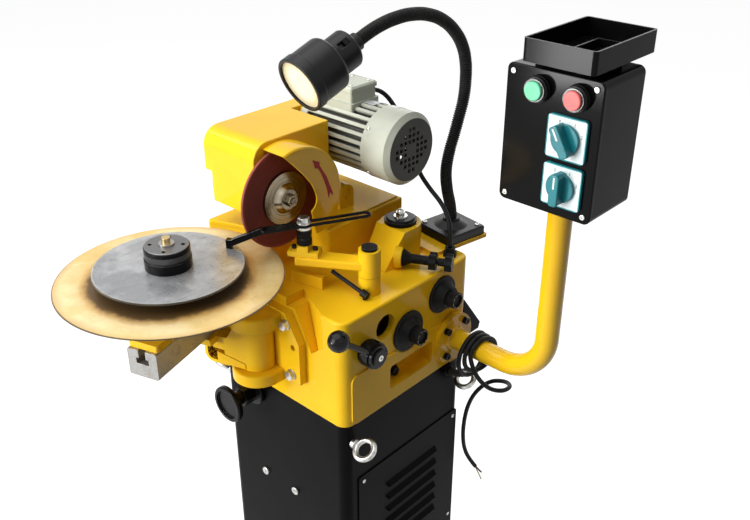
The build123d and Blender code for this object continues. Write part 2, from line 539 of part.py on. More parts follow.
def belt_cover():
    t = cover_t
    x, strip_x = cover_x, (cover_x[0], cover_x[0] + strip_w)
    y, strip_y = cover_y, (cover_y[0], strip_back)
    part = cover_outline(x, y, cover_z) + cover_outline(strip_x, strip_y, cover_z)
    z = (cover_z[0] - 1, cover_z[1] - t)
    part -= cover_room((x[0] + t, x[1] - t), (y[0] + t, y[1] - t), z)
    part -= cover_room((strip_x[0] + t, strip_x[1] - t), (strip_y[0] + t, strip_y[1] - t), z)
    part -= rod_x(flange_r + 6, (x[1] - t - 1, x[1] + 1), wheel_y, wheel_z)
    beam = (housing_x[0] + 2, housing_x[1] - 2)
    part -= block(beam, (y[1] - t - 1, y[1] + 1), (cover_z[0] - 1, wheel_z - 10))
    notch_y = (y[0] - 1, y[0] + notch_deep)
    part -= block((x[0] - 1, x[0] + notch_w), notch_y, (cover_z[0] - 1, cover_z[0] + notch_h))
    wall = (strip_x[1] - t - 1, strip_x[1] + 1)
    part -= rod_x(rotor_r * 0.6, wall, motor_y, motor_z)
    part -= block((wall[0], motor_x[0] + 1), (cover_back, motor_y + 50), (cover_z[0] - 1, motor_z))
    return part


def cover_room(x, y, z):
    part = block(x, y, z)
    bend = part.edges().group_by(Axis.Z)[-1].filter_by(Axis.X).sort_by(Axis.Y)[0]
    return fillet(bend, cover_round - cover_t)


def wheel_guard():
    x = (cover_x[1], guard_x)
    edge = [(x[0] - 1, wheel_y + y, wheel_z + z) for y, z in guard_open]
    rest = [(x[0] - 1, wheel_y + y, wheel_z + z) for y, z in guard_end]
    region = make_face(Spline(*edge) + Polyline(edge[-1], *rest, edge[0]))
    shell = rod_x(guard_r, x, wheel_y, wheel_z)
    shell = fillet(shell.edges().group_by(Axis.X)[-1], guard_edge)
    room = rod_x(guard_r - guard_t, (x[0] - 1, x[1] - guard_t), wheel_y, wheel_z)
    room = fillet(room.edges().group_by(Axis.X)[-1], guard_edge - guard_t)
    return (shell - room) & extrude(region, amount=x[1] - x[0] + 2, dir=(1, 0, 0))


def spindle():
    part = rod_x(spindle_r, (pulley_x[1], housing_x[1] + 4), wheel_y, wheel_z)
    shoulder = wheel_x + flange_t + cone_len - 1
    part += rod_x(wheel_bore_r, (housing_x[1] + 3, shoulder), wheel_y, wheel_z)
    part += rod_x(tip_r, (shoulder - 1, shoulder + 1 + nut_len + 3), wheel_y, wheel_z)
    return part + rod_x(wheel_bore_r, (pulley_x[0] - 0.5, pulley_x[1] + 1), wheel_y, wheel_z)


def grinding_wheel():
    x = (wheel_x - wheel_t, wheel_x)
    disc = chamfer(rod_x(wheel_r, x, wheel_y, wheel_z).edges(), 0.8)
    return disc - rod_x(wheel_bore_r, (x[0] - 1, x[1] + 1), wheel_y, wheel_z)


def wheel_flanges():
    cone = Pos(0, 0, flange_t + cone_len / 2) * Cone(cone_r * 1.5, cone_r, cone_len)
    outer = stack(((flange_r, flange_t),)) + cone
    inner = Pos(0, 0, -wheel_t) * stack(((flange_r - 3, flange_t),), -flange_t)
    low = flange_t + cone_len
    nut = prism_z(hexagon(nut_af), (low, low + nut_len)) - Cylinder(tip_r, 200)
    place = right_face(wheel_y, wheel_z, wheel_x)
    bore = Cylinder(wheel_bore_r, 200)
    return Compound([(place * part).solid() for part in (inner - bore, outer - bore, nut)])


def pulley(r, bore, y, z):
    part = rod_x(r, pulley_x, y, z) - rod_x(bore, (pulley_x[0] - 1, pulley_x[1] + 1), y, z)
    mid = (pulley_x[0] + pulley_x[1]) / 2
    groove = (mid - groove_w / 2, mid + groove_w / 2)
    return part - (rod_x(r + 1, groove, y, z) - rod_x(r - groove_deep, groove, y, z))


def belt_loop(grow):
    r1, r2 = spindle_pulley_r - groove_deep + grow, motor_pulley_r - groove_deep + grow
    dy, dz = motor_y - wheel_y, motor_z - wheel_z
    lean = atan2(dz, dy)
    spread = atan2(sqrt(dy**2 + dz**2 - (r1 - r2) ** 2), r1 - r2)
    mid = (pulley_x[0] + pulley_x[1]) / 2
    x = (mid - groove_w / 2 + free_gap, mid + groove_w / 2 - free_gap)
    corners = []
    for a in (lean + spread, lean - spread):
        corners.append((wheel_y + r1 * cos(a), wheel_z + r1 * sin(a)))
        corners.append((motor_y + r2 * cos(a), motor_z + r2 * sin(a)))
    flat = prism_x([corners[0], corners[1], corners[3], corners[2]], x)
    return flat + rod_x(r1, x, wheel_y, wheel_z) + rod_x(r2, x, motor_y, motor_z)


def drive_belt():
    return belt_loop(free_gap + belt_thick) - belt_loop(free_gap)


def motor_body():
    place = right_face(motor_y, motor_z, 0)
    part = prism_z(fin_outline(), (motor_x[0] + 16, cowl_x[0]))
    part += stack(((motor_r - 2, 16.5),), motor_x[0]) + stack(((motor_core_r, 4),), cowl_x[0] - 1)
    part = place * part + terminal_box()
    part -= rod_x(rotor_r + rotor_bore_gap, (motor_x[0] + 10, cowl_x[0] - 6), motor_y, motor_z)
    return part - rod_x(bearing_r / 2, (motor_x[0] - 1, cowl_x[0] + 9), motor_y, motor_z)


def fin_outline():
    corners = (0.0, motor_r), (fin_share, motor_r), (fin_share + 0.06, motor_core_r), (0.94, motor_core_r)
    points = []
    for i in range(fin_count):
        for step, r in corners:
            a = 2 * pi * (i + step) / fin_count
            points.append((r * cos(a), r * sin(a)))
    return points


def terminal_box():
    low, seat = motor_z + motor_core_r - 4, motor_z + motor_r - 8
    split, top = seat + tbox_h - tbox_lid, seat + tbox_h
    x, y = tbox_x, tbox_y

    def grown(by, z):
        return rounded(block((x[0] - by, x[1] + by), (y[0] - by, y[1] + by), z), Axis.Z, 4)

    lid = grown(tbox_lap, (split, top))
    lid = chamfer(lid.edges().group_by(Axis.Z)[-1], 3)
    return grown(tbox_flange, (low, motor_z + motor_r + tbox_flange_h)) + grown(0, (low, split)) + lid


def motor_cowl():
    length = cowl_x[1] - cowl_x[0]
    cup = chamfer(Cylinder(cowl_r, length).edges().group_by(Axis.Z)[-1], 8)
    cup -= Pos(0, 0, -cowl_t) * chamfer(Cylinder(cowl_r - cowl_t, length).edges().group_by(Axis.Z)[-1], 7)
    count = int(grille_reach // grille_pitch) + 1
    steps = [(i + 0.5) * grille_pitch for i in range(-count, count)]
    holes = [
        Pos(a, b, length / 2) * Box(grille_hole, grille_hole, 9)
        for a in steps for b in steps if hypot(a, b) > grille_hub and abs(a) + abs(b) < grille_reach
    ]
    return right_face(motor_y, motor_z, (cowl_x[0] + cowl_x[1]) / 2) * (cup - holes)


def motor_rotor():
    part = rod_x(bearing_r / 2 - run_fit, (pulley_x[0] - 0.5, cowl_x[0] + 26), motor_y, motor_z)
    part += rod_x(rotor_r, (motor_x[0] + 24, cowl_x[0] - 20), motor_y, motor_z)
    blades = prism_z(ring_points(9, cowl_r - 12, 22.0, 0.4), (cowl_x[0] + 10, cowl_x[0] + 24))
    return part + right_face(motor_y, motor_z, 0) * blades


# Carriage: bracket, swivelling arm, bar, slide and arbour
def carrier_bracket():
    y = (bracket_front, -side)
    half, top = bracket_half, bracket_top_half
    outline = [(-half, bracket_z[0]), (half, bracket_z[0]), (half, bracket_cut_z), (top, bracket_z[1])]
    outline += [(-top, bracket_z[1]), (-half, bracket_cut_z)]
    part = prism_y([(column_x + x, cab_h + z) for x, z in outline], y)
    for low, high in (lug_low, lug_high):
        z = (cab_h + low, cab_h + high)
        lug = rod_z(lug_r, column_x, column_y, z)
        lug += block((column_x - lug_r, column_x + lug_r), (column_y, -side - 1), z)
        part += fillet(lug.edges().group_by(Axis.Z)[-1].filter_by(GeomType.CIRCLE), 4)
    part -= block((column_x - lug_r, column_x + lug_r), (-side, 0), (cab_h, body_top))
    part -= rod_z(column_r + run_fit, column_x, column_y, (cab_h + lug_low[0] + 6, cab_h + lug_high[1] - 5))
    part -= rod_z(sleeve_r + 1.5, column_x, column_y, (cab_h + lug_low[1], cab_h + lug_high[0]))
    part -= [place * hole(bolt_r + slide_gap, 2 * bracket_t) for place in bracket_bolts]
    z = cab_h + 121.0
    part -= [rod_y(bracket_hole_r, column_x + s * 69.0, (y[0] - 1, y[1] + 1), z) for s in (-1, 1)]
    return part


def carriage_frame():
    return Pos(column_x, column_y, 0) * Rot(0, 0, swivel)


def swivel_arm():
    low, high = cab_h + lug_low[1] + slide_gap * 5, cab_h + lug_high[0] - slide_gap * 5
    part = rod_z(sleeve_r, 0, 0, (low, high))
    part += rod_z(column_r, 0, 0, (cab_h + lug_low[0] + 6 + free_gap, cab_h + lug_high[1] - 5 - free_gap))
    bar_low = bar_z - bar_h
    x = (-bar_offset - bar_w / 2 - 8, -bar_offset + bar_w / 2 + 6)
    part += block(x, (-46, 20), (bar_low - 12, bar_low))
    plate = [(0, low + 2), (0, high - 2), (-26, high - 2), (-40, high - 26), (-62, bar_low - 1)]
    plate += [(-80, bar_low - 1), (-80, bar_low - 14), (-30, low + 0.5), (-22, low + 2)]
    part += prism_y(plate, (-sleeve_r, -20))
    plate = [(-6, low + 2), (-6, high - 2), (-24, high - 2), (-58, bar_low - 1), (x[0], bar_low - 1)]
    plate += [(x[0], bar_low - 32), (-70, bar_low - 44)]
    part += prism_y(plate, (10, 20))
    end_z = (bar_low - arm_end_h, bar_low - 1)
    end = block(arm_end_x, (-20, 20), end_z)
    part += fillet(end.edges().filter_by(Axis.Y).group_by(Axis.Z)[0].sort_by(Axis.X)[0], arm_end_round)
    rim = arm_end_rim
    room_x, room_z = (arm_end_x[0] + rim, arm_end_x[1]), (end_z[0] + rim, end_z[1] - 4 * rim)
    room = block(room_x, (-40, arm_end_deep - 20), room_z)
    part -= fillet(room.edges().filter_by(Axis.Y).group_by(Axis.Z)[0].sort_by(Axis.X)[0], arm_end_round - rim)
    web = [(-6, low + 2), (-6, low + 12), (-60, bar_low - 30), (-60, low + 2)]
    return carriage_frame() * (part + prism_y(web, (-30, 19)))


def slide_bar():
    mid = -bar_offset
    part = block((mid - bar_w / 2, mid + bar_w / 2), (bar_front, bar_back), (bar_z - bar_h, bar_z))
    part = chamfer(part.edges().filter_by(Axis.Y), 2)
    y = (bar_front - 1, bar_back + 1)
    part -= block((mid - slot_w / 2, mid + slot_w / 2), y, (bar_z - slot_deep - 1, bar_z + 1))
    part -= block((mid - tee_w / 2, mid + tee_w / 2), y, (bar_z - slot_deep - tee_h, bar_z - slot_deep))
    return carriage_frame() * part


def slide_block():
    mid, low = -bar_offset, bar_z + slide_gap
    y = (bar_front + slide_front, min(slide_behind - blade_at, bar_back))
    part = block((mid - bar_w / 2, mid + bar_w / 2), y, (low, low + slide_t))
    part = rounded(part, Axis.Z, 4)
    y = (y[0] + 20, y[1] - 10)
    half = slot_w / 2 - free_gap
    part += block((mid - half, mid + half), y, (bar_z - slot_deep - 4, low + 1))
    half = tee_w / 2 - free_gap
    tee_z = (bar_z - slot_deep - tee_h + free_gap, bar_z - slot_deep - free_gap)
    part += block((mid - half, mid + half), y, tee_z)
    part += rod_z(pedestal_r, mid, -blade_at, (low, arbour_low()))
    bore = (low + 2, arbour_low() + 1)
    return carriage_frame() * (part - rod_z(arbour_r + run_fit, mid, -blade_at, bore))


def arbour_low():
    return blade_z - blade_t / 2 - 14


def arbour():
    low = arbour_low()
    place = Pos(blade_c.X, blade_c.Y, 0)
    part = rod_z(arbour_r, 0, 0, (bar_z + 2 + slide_gap + free_gap, low + 2))
    part += rod_z(arbour_flange_r, 0, 0, (low + free_gap, blade_z - blade_t / 2))
    part += rod_z(spigot_r, 0, 0, (low + 2, index_z + index_t / 2))
    top = index_z + index_t / 2 + 2 * nut_ring_h
    part += rod_z(stud_r, 0, 0, (low + 2, top + 3)) + rod_z(stud_r * 0.55, 0, 0, (low + 2, top + 12))
    return place * part


def saw_blade():
    z = (blade_z - blade_t / 2, blade_z + blade_t / 2)
    disc = prism_z(ring_points(blade_teeth, blade_r, blade_r - tooth_h, 0.35), z)
    return Pos(blade_c.X, blade_c.Y, 0) * (disc - rod_z(spigot_r, 0, 0, (z[0] - 1, z[1] + 1)))


def index_plate():
    low, high = index_z - index_t / 2, index_z + index_t / 2
    part = prism_z(ring_points(blade_teeth, index_r, index_r - index_tooth_h), (low, high))
    part += rod_z(arbour_flange_r, 0, 0, (blade_z + blade_t / 2, low + 1))
    return Pos(blade_c.X, blade_c.Y, 0) * (part - rod_z(spigot_r, 0, 0, (blade_z, high + 1)))


def hub_nut():
    low = index_z + index_t / 2
    rings = (nut_ring_r, nut_ring_h - nut_groove), (nut_ring_r - 2, nut_groove), (nut_ring_r - 1, nut_ring_h)
    part = stack(rings)
    part = chamfer(part.edges().group_by(Axis.Z)[-1], 2)
    part -= [
        Pos(pin_hole_at * cos(a), pin_hole_at * sin(a), 2 * nut_ring_h) * hole(pin_hole_r, 10)
        for a in (pi / 4, 3 * pi / 4, 5 * pi / 4, 7 * pi / 4)
    ]
    return Pos(blade_c.X, blade_c.Y, low) * (part - Cylinder(stud_r, 200))


# Feed linkage
def link_low():
    return body_top + boss_h + slide_gap * 5


def link_arm():
    dx, dy = post_x - link_x, post_y - link_y
    length = hypot(dx, dy)
    z = (body_top + link_z[0] - link_low(), body_top + link_z[1] - link_low())
    hub = stack(((boss_r, link_hub_h),))
    half = link_w / 2
    end = length + block_w / 2
    arm = prism_z([(0, -half), (length * 0.55, -half), (end, -half - 4), (end, half + 2), (0, half)], z)
    arm = rounded(arm, Axis.Z, 4)
    arm = fillet(arm.edges().group_by(Axis.Z)[-1] + arm.edges().group_by(Axis.Z)[0], link_edge)
    part = hub + arm - Cylinder(link_shaft_r, 4 * link_hub_h)
    return Pos(link_x, link_y, link_low()) * Rot(0, 0, degrees(atan2(dy, dx))) * part


def link_shaft():
    top = link_low() + link_hub_h
    low, high = cab_h + crank_z[0], cab_h + crank_z[1]
    part = rod_z(link_shaft_r, link_x, link_y, (low, top + 1))
    part += rod_z(boss_r - 5, link_x, link_y, (top, top + 5))
    crank = block((-crank_len, 0), (-crank_w / 2, crank_w / 2), (low + 2, high - 2))
    crank += rod_z(crank_hub_r, 0, 0, (low, high))
    return part + Pos(link_x, link_y, 0) * Rot(0, 0, crank_turn) * crank


def pawl_block():
    z = body_top + link_z[1]
    turn_z = degrees(atan2(post_y - link_y, post_x - link_x))
    base = Box(block_l, block_w, block_t)
    base += Pos(0, 0, block_t / 2 + block_mid_h / 2 - 0.5) * Box(block_mid, block_w, block_mid_h + 1)
    post = body_top + pawl_z - pawl_t / 2 - free_gap - z - block_t / 2
    base += stack(((post_r, post),))
    base += Pos(0, 0, post - collar_h - 4) * stack(((collar_r, collar_h), (collar_r + 2, 4)))
    top = post + pawl_t + 2 * free_gap
    base += stack(((stud_pawl_r, top + 4),)) + Pos(0, 0, top) * stack(((collar_r - 2, 2),))
    base += Pos(0, 0, top + 2) * prism_z(hexagon(bolt_head_af - 3), (0, bolt_head_h))
    key = socket_screw(2.6, 6)
    base += [Pos(s * block_l * 0.35, 0, block_t / 2) * key for s in (-1, 1)]
    return Pos(post_x, post_y, z + block_t / 2) * Rot(0, 0, turn_z) * base


def pawl():
    z = body_top + pawl_z
    half = pawl_w / 2
    bar = block((-pawl_ahead, pawl_back), (-half, half), (-pawl_t / 2, pawl_t / 2))
    bar = rounded(bar, Axis.Z, half * 0.95)
    ends = (-stud_pawl_r, pawl_back - half)
    slot = block(ends, (-pawl_slot / 2, pawl_slot / 2), (-pawl_t, pawl_t))
    bar -= [slot] + [rod_z(pawl_slot / 2, x, 0, (-pawl_t, pawl_t)) for x in ends]
    bar = fillet(bar.edges().group_by(Axis.Z)[-1], pawl_t * 0.25)
    part = Pos(post_x, post_y, z) * Rot(0, 0, pawl_dir) * bar
    a = radians(pawl_dir)
    elbow = Vector(post_x - pawl_ahead * cos(a), post_y - pawl_ahead * sin(a), z)
    hook_low = index_z + index_t / 2 + free_gap * 2
    tip = Vector(tip_x, tip_y, hook_low + hook_h / 2)
    run = tip - elbow
    start = elbow - run.normalized() * 4
    frame = Plane(origin=start, x_dir=run.normalized(), z_dir=Vector(0, 0, 1).cross(run).cross(run) * -1)
    length = run.length + 4
    part += frame * Pos(length / 2, 0, 0) * Box(length, finger_w, finger_h)
    side_turn = degrees(atan2(run.Y, run.X))
    return part + Pos(tip.X, tip.Y, tip.Z) * Rot(0, 0, side_turn) * Box(finger_w, finger_w, hook_h)


def black_hardware():
    screws = [place * socket_screw(flange_screw_r, 2 * flange_arm_t) for place in flange_screws]
    a, b = [Vector(x, y, body_top + z) for x, y, z in (stop_rod_a, stop_rod_b)]
    run = b - a
    frame = Plane(origin=a, z_dir=run.normalized())
    rod = frame * (stack(((stop_rod_r, run.length),)) + stack(((stop_head_r, 12),), run.length - 6))
    stand = rod_z(stop_rod_r, b.X, b.Y, (body_top, b.Z))
    return Compound([part.solid() for part in screws] + [(rod + stand).solid()])


def camshaft():
    z = cab_h + cam_z
    part = rod_x(cam_shaft_r, cam_ends, cam_y, z)
    for x, angle in ((cam_lift_x, pi / 2), (cam_feed_x, pi)):
        span = (x - cam_w / 2, x + cam_w / 2)
        part += rod_x(cam_r, span, cam_y + cam_offset * cos(angle), z + cam_offset * sin(angle))
    return part


def lift_rod():
    low = cab_h + cam_z + cam_r + cam_offset + 2 * free_gap
    return rod_z(lift_r, cam_lift_x, cam_y, (low, pivot_z + 10 - 4 - free_gap))


def feed_gearmotor():
    z = cab_h + cam_z
    mid = gear_x[0] + 18
    half = gear_box / 2
    box = block((gear_x[0], mid), (cam_y - half, cam_y + half), (z - half, z + half))
    foot = block((web_x[1], gear_x[0] + 1), (cam_y - half, cam_y + half), (z - half, z - 16))
    return box + rod_x(gear_r, (mid, gear_x[1]), cam_y, z) + foot


# Hand controls
def ball_lever():
    place = right_face(lever_y, cab_h + lever_z, side + slide_gap * 5)
    hub = stack(lever_steps)
    part = stack(((dial_shaft_r, dial_in),), -dial_in) + chamfer(hub.edges().group_by(Axis.Z)[-1], 1.5)
    ball = Vector(lever_ball_y - lever_y, lever_ball_z - lever_z, lever_ball_out)
    start = Vector(0, 0, lever_rod_at)
    run = ball - start
    rod = Plane(origin=start, z_dir=run.normalized()) * stack(((lever_rod_r, run.length),))
    return place * (part + rod + Pos(ball) * Sphere(lever_ball_r))


def dial_knob(at, flange_r, cone_l):
    gap = slide_gap * 5
    flange = fillet(stack(((flange_r, dial_flange_t),)).edges().group_by(Axis.Z)[-1], dial_flange_t * 0.6)
    cone = Pos(0, 0, dial_flange_t + cone_l / 2) * Cone(*dial_cone_r, cone_l)
    low = dial_flange_t + cone_l
    tip = fillet(stack(((dial_tip_r, dial_tip_l),), low).edges().group_by(Axis.Z)[-1], 1.5)
    tip -= Pos(0, 0, low + dial_tip_l) * hole(dial_dish_r, dial_dish)
    shaft = stack(((dial_shaft_r, dial_in + 1),), -dial_in)
    return right_face(at[0], cab_h + at[1], side + gap) * (flange + cone + tip + shaft)


def star_knob():
    points = ring_points(star_points, star_r, star_r * 0.72)
    return fillet(prism_z(points, (0, star_t)).edges().filter_by(Axis.Z), 2.5)


def lock_knob():
    low, high = slide_gap * 5, star_near - star_t / 2
    sleeve = Pos(0, 0, low + boot_l / 2) * Cone(boot_r, 2 * screw_r, boot_l)
    sleeve += stack(((2 * screw_r, high - low),), low) + Pos(0, 0, high) * star_knob()
    return screw_frame() * (sleeve - Cylinder(screw_r + run_fit, 4 * star_far))


def stroke_screw():
    rod = stack(((screw_r, 20 + star_far),), -20)
    neck = stack(((screw_r + 3.0, 12.0),), star_far - 12.0 - star_t / 2)
    return screw_frame() * (rod + neck + Pos(0, 0, star_far - star_t / 2) * star_knob())


def hand_knob():
    gap = slide_gap * 5
    low, high = hand_flange_t + hand_hex_l, hand_reach - hand_disc_t
    part = stack(((hand_flange_r, hand_flange_t),))
    part = chamfer(part.edges().group_by(Axis.Z)[-1], 2)
    part += prism_z(hexagon(hand_hex), (hand_flange_t, low)) + stack(((hand_neck_r, high - low + 1),), low)
    disc = Pos(0, 0, high) * stack(((hand_r - hand_rim, hand_disc_t / 4), (hand_r, hand_disc_t * 3 / 4)))
    disc = fillet(disc.edges().group_by(Axis.Z)[-1], 3)
    disc -= Pos(0, 0, hand_reach) * hole(hand_r - hand_rim, hand_dish)
    part += disc + stack(((hand_shaft_r, 24 + gap),), -24 - gap)
    return front_face(hand_x, cab_h - hand_drop, -cab_side - gap) * part


# Control arm with its box
def control_arm():
    z = cab_h + arm_z
    top = cab_h + box_z[0]
    path = FilletPolyline((side, arm_y, z), (arm_x, arm_y, z), (arm_x, arm_y, top), radius=arm_bend)
    start = Plane(origin=(side, arm_y, z), x_dir=(0, 1, 0), z_dir=(1, 0, 0))
    tube = sweep(start * Circle(arm_r), path=path) - sweep(start * Circle(arm_r - arm_wall), path=path)
    flange = rod_x(flange_arm_r, (side + pad_t, side + flange_arm_t), arm_y, z)
    flange -= rod_x(arm_r - arm_wall, (side - 1, side + flange_arm_t + 1), arm_y, z)
    flange -= [place * hole(flange_screw_r + slide_gap, 2 * flange_arm_t) for place in flange_screws]
    collar = rod_z(arm_r + 6, arm_x, arm_y, (top - 8, top))
    collar -= rod_z(arm_r - 1, arm_x, arm_y, (top - 9, top + 1))
    tube -= block((0, side + pad_t), (0, side), (cab_h, cab_h + 2 * arm_z))
    return tube + flange + collar


def control_box():
    y = (box_y[0] + lid_t, box_y[1])
    z = (cab_h + box_z[0], cab_h + box_z[1])
    part = fillet(block(box_x, y, z).edges().filter_by(Axis.Y), box_corner)
    w = box_wall
    room = block((box_x[0] + w, box_x[1] - w), (y[0] - 1, y[1] - w), (z[0] + w, z[1] - w))
    part -= fillet(room.edges().filter_by(Axis.Y), box_corner - w)
    depth = y[1] - y[0] - w
    part += [place * Pos(0, 0, -lid_t) * stack(((post_box_r, depth),), -depth) for place in lid_screws]
    return part - [place * hole(pan_shank + slide_gap, pan_len) for place in lid_screws]


def control_lid():
    y = (box_y[0], box_y[0] + lid_t)
    part = block(box_x, y, (cab_h + box_z[0], cab_h + box_z[1]))
    part = fillet(part.edges().filter_by(Axis.Y), box_corner)
    part = fillet(part.faces().sort_by(Axis.Y)[0].edges(), lid_edge)
    part -= [place * hole(pan_shank + slide_gap, pan_len) for place in lid_screws]
    for x in button_x:
        part -= rod_y(button_r + free_gap, x, (y[0] - 1, y[1] + 1), cab_h + button_z)
    for z in switch_z:
        part -= rod_y(switch_shaft_r + 2 * free_gap, switch_x, (y[0] - 1, y[1] + 1), cab_h + z)
    return part


def button_housings():
    collar = stack(((collar_button_r, collar_button_h), (bezel_r, bezel_h)))
    collar -= Cylinder(button_r + free_gap, 200)
    return Compound([(front_face(x, cab_h + button_z, lid_y) * collar).solid() for x in button_x])


def button(x):
    part = stack(((button_r, button_out + lid_t + button_travel),), -lid_t - button_travel)
    part = fillet(part.edges().group_by(Axis.Z)[-1], 1.5)
    return front_face(x, cab_h + button_z, lid_y) * part


def switch_plates():
    half = switch_plate / 2
    plate = rounded(block((-half, half), (-half, half), (0, switch_plate_t)), Axis.Z, 6)
    plate -= Cylinder(switch_shaft_r + free_gap, 4 * switch_plate_t)
    return Compound([(front_face(switch_x, cab_h + z, lid_y) * plate).solid() for z in switch_z])


def switch_knob(z, angle):
    low = switch_plate_t + free_gap
    half_w, half_l = handle_w / 2, handle_l / 2
    handle = block((-half_w, half_w), (-half_l, half_l), (low, low + switch_disc + handle_h))
    handle = fillet(handle.edges().filter_by(Axis.Z), handle_w * 0.35)
    part = stack(((switch_r, switch_disc),), low) + fillet(handle.edges().group_by(Axis.Z)[-1], 1.5)
    part += stack(((switch_shaft_r, switch_in + low),), -switch_in)
    return front_face(switch_x, cab_h + z, lid_y) * Rot(0, 0, angle) * part


def parts_tray():
    z = (tray_z, tray_z + tray_h)
    w = tray_wall
    part = rounded(block(tray_x, tray_y, z), Axis.Z, tray_corner)
    half = tray_neck / 2
    mid = (box_y[0] + box_y[1]) / 2 + lid_t
    part += block((box_mid - half, box_mid + half), (mid - half, mid + half), (cab_h + box_z[1], tray_z + 1))
    inner_x, inner_y = (tray_x[0] + w, tray_x[1] - w), (tray_y[0] + w, tray_y[1] - w)
    part -= rounded(block(inner_x, inner_y, (z[0] + w, z[1] + 1)), Axis.Z, tray_corner - w)
    ridge_z = (z[0] + w - 1, z[0] + w + tray_ridge_h)
    x, y = tray_ridge_x, tray_ridge_y
    part += block((x - w / 2, x + w / 2), (tray_y[0] + 1, y + w / 2), ridge_z)
    return part + block((x, tray_x[1] - 1), (y - w / 2, y + w / 2), ridge_z)


# Lamp
def goose_point(a, z):
    return Vector(lamp_at[0] + a * cos(goose_turn), lamp_at[1] + a * sin(goose_turn), cab_h + z)


goose_foot = lamp_base_z - cab_h + lamp_base_h + lamp_neck_h
lamp_front = lamp_socket_l + lamp_rear_l + lamp_barrel_l + bezel_lamp_l
lamp_joint = goose_point(*lamp_collar)
lamp_axis = (lamp_joint - goose_point(*goose_path[-1])).normalized()
lamp_plane = Plane(origin=lamp_joint, x_dir=(sin(goose_turn), -cos(goose_turn), 0), z_dir=lamp_axis)


def lamp_base():
    half = lamp_base_w / 2
    foot = rounded(block((-half, half), (-half, half), (0, lamp_base_h)), Axis.Z, 6)
    foot = chamfer(foot.edges().group_by(Axis.Z)[-1], 3)
    foot += stack(((lamp_neck_r, lamp_neck_h),), lamp_base_h)
    foot += Pos(0, 0, lamp_base_h + lamp_cone_h / 2) * Cone(lamp_cone_r, lamp_neck_r, lamp_cone_h)
    place = lamp_frame
    return place * foot - [screw * hole(pan_shank + slide_gap, pan_len) for screw in lamp_screws]


def gooseneck():
    points = [goose_point(0, goose_foot)] + [goose_point(a, z) for a, z in goose_path] + [lamp_joint]
    path = Spline(*points, tangents=((0, 0, 1), lamp_axis))
    side_dir = (sin(goose_turn), -cos(goose_turn), 0)
    sections = []
    for rib in range(goose_ribs):
        for share, r in ((0.0, goose_root_r), (0.25, goose_r), (0.6, goose_r), (0.85, goose_root_r)):
            t = (rib + share) / goose_ribs
            place = Plane(origin=path.position_at(t), x_dir=side_dir, z_dir=path.tangent_at(t))
            sections.append(place * Circle(r))
    last = Plane(origin=path.position_at(1), x_dir=side_dir, z_dir=path.tangent_at(1))
    sections.append(last * Circle(goose_root_r))
    print("gooseneck length", round(path.length, 1), "rib pitch", round(path.length / goose_ribs, 2))
    return loft(sections, ruled=True)


def lamp_head():
    rear = Pos(0, 0, lamp_socket_l) * stack(((lamp_rear_r, lamp_rear_l),))
    barrel = Pos(0, 0, lamp_socket_l + lamp_rear_l) * stack(((lamp_barrel_r, lamp_barrel_l),))
    part = stack(((lamp_socket_r, lamp_socket_l + 1),))
    part += fillet(rear.edges().group_by(Axis.Z)[0], lamp_rear_edge)
    part += fillet(barrel.edges().group_by(Axis.Z)[0], lamp_barrel_edge)
    bezel = stack(((bezel_lamp_r, bezel_lamp_l),), lamp_front - bezel_lamp_l)
    part += fillet(bezel.edges(), 1.5)
    part -= stack(((lens_r + 1.5, reflector_l + 2),), lamp_front - reflector_l)
    part -= lamp_well() * Box(2 * lamp_well_deep, lamp_well_w, lamp_well_l)
    return lamp_plane * part


def lamp_well():
    return Rot(0, 0, lamp_well_turn) * Pos(lamp_rear_r, 0, lamp_socket_l + lamp_rear_l / 2)


def lamp_lens():
    return lamp_plane * stack(((lens_r + 1.5, lens_t),), lamp_front - lens_in - lens_t)


def lamp_switch():
    low = free_gap - lamp_well_deep
    slider = block((low, -0.5), (free_gap - lamp_well_w / 2, lamp_well_w / 2 - free_gap), (0, lamp_slider_l))
    slider = fillet(slider.faces().sort_by(Axis.X)[-1].edges(), 1)
    return lamp_plane * lamp_well() * Pos(0, 0, free_gap - lamp_well_l / 2) * slider


# Cables
def corner_radii(points):
    radii = []
    for a, b, c in zip(points, points[1:], points[2:]):
        shorter = min((b - a).length, (c - b).length)
        half = (b - a).get_angle(c - b) / 2
        radii.append(0.45 * shorter / tan(radians(half)))
    return radii


def cable(name, points):
    radii = corner_radii(points)
    path = FilletPolyline(*points, radius=radii)
    start = Plane(origin=points[0], z_dir=(points[1] - points[0]).normalized())
    tube = sweep(start * Circle(cable_r), path=path)
    share = tube.volume / (pi * cable_r**2 * path.length)
    print(name, "length", round(path.length, 1), "least radius", round(min(radii), 1))
    print(name, "share of a plain tube", round(share, 4))
    return tube


def motor_cable():
    return cable("motor cable", [Vector(x, y, cab_h + z) for x, y, z in motor_cable_path])


def mains_points():
    start = Vector(cab_side + 1, mains_gland[0], cab_h + mains_gland[1])
    points = [start] + [Vector(x, y, cab_h + z) for x, y, z in mains_rise]
    steps = int(loop_steps * loop_turns)
    for i in range(steps + 1):
        share = i / steps
        r = loop_r[0] + (loop_r[1] - loop_r[0]) * share
        a = 2 * pi * i / loop_steps
        x = loop_x[0] + (loop_x[1] - loop_x[0]) * share + loop_tilt * share * cos(a)
        points.append(Vector(x, arm_y + r * cos(a), cab_h + arm_z + loop_rest - r + r * sin(a)))
    return points + [Vector(x, y, cab_h + z) for x, y, z in mains_tail]


def mains_cable():
    return cable("mains cable", mains_points())


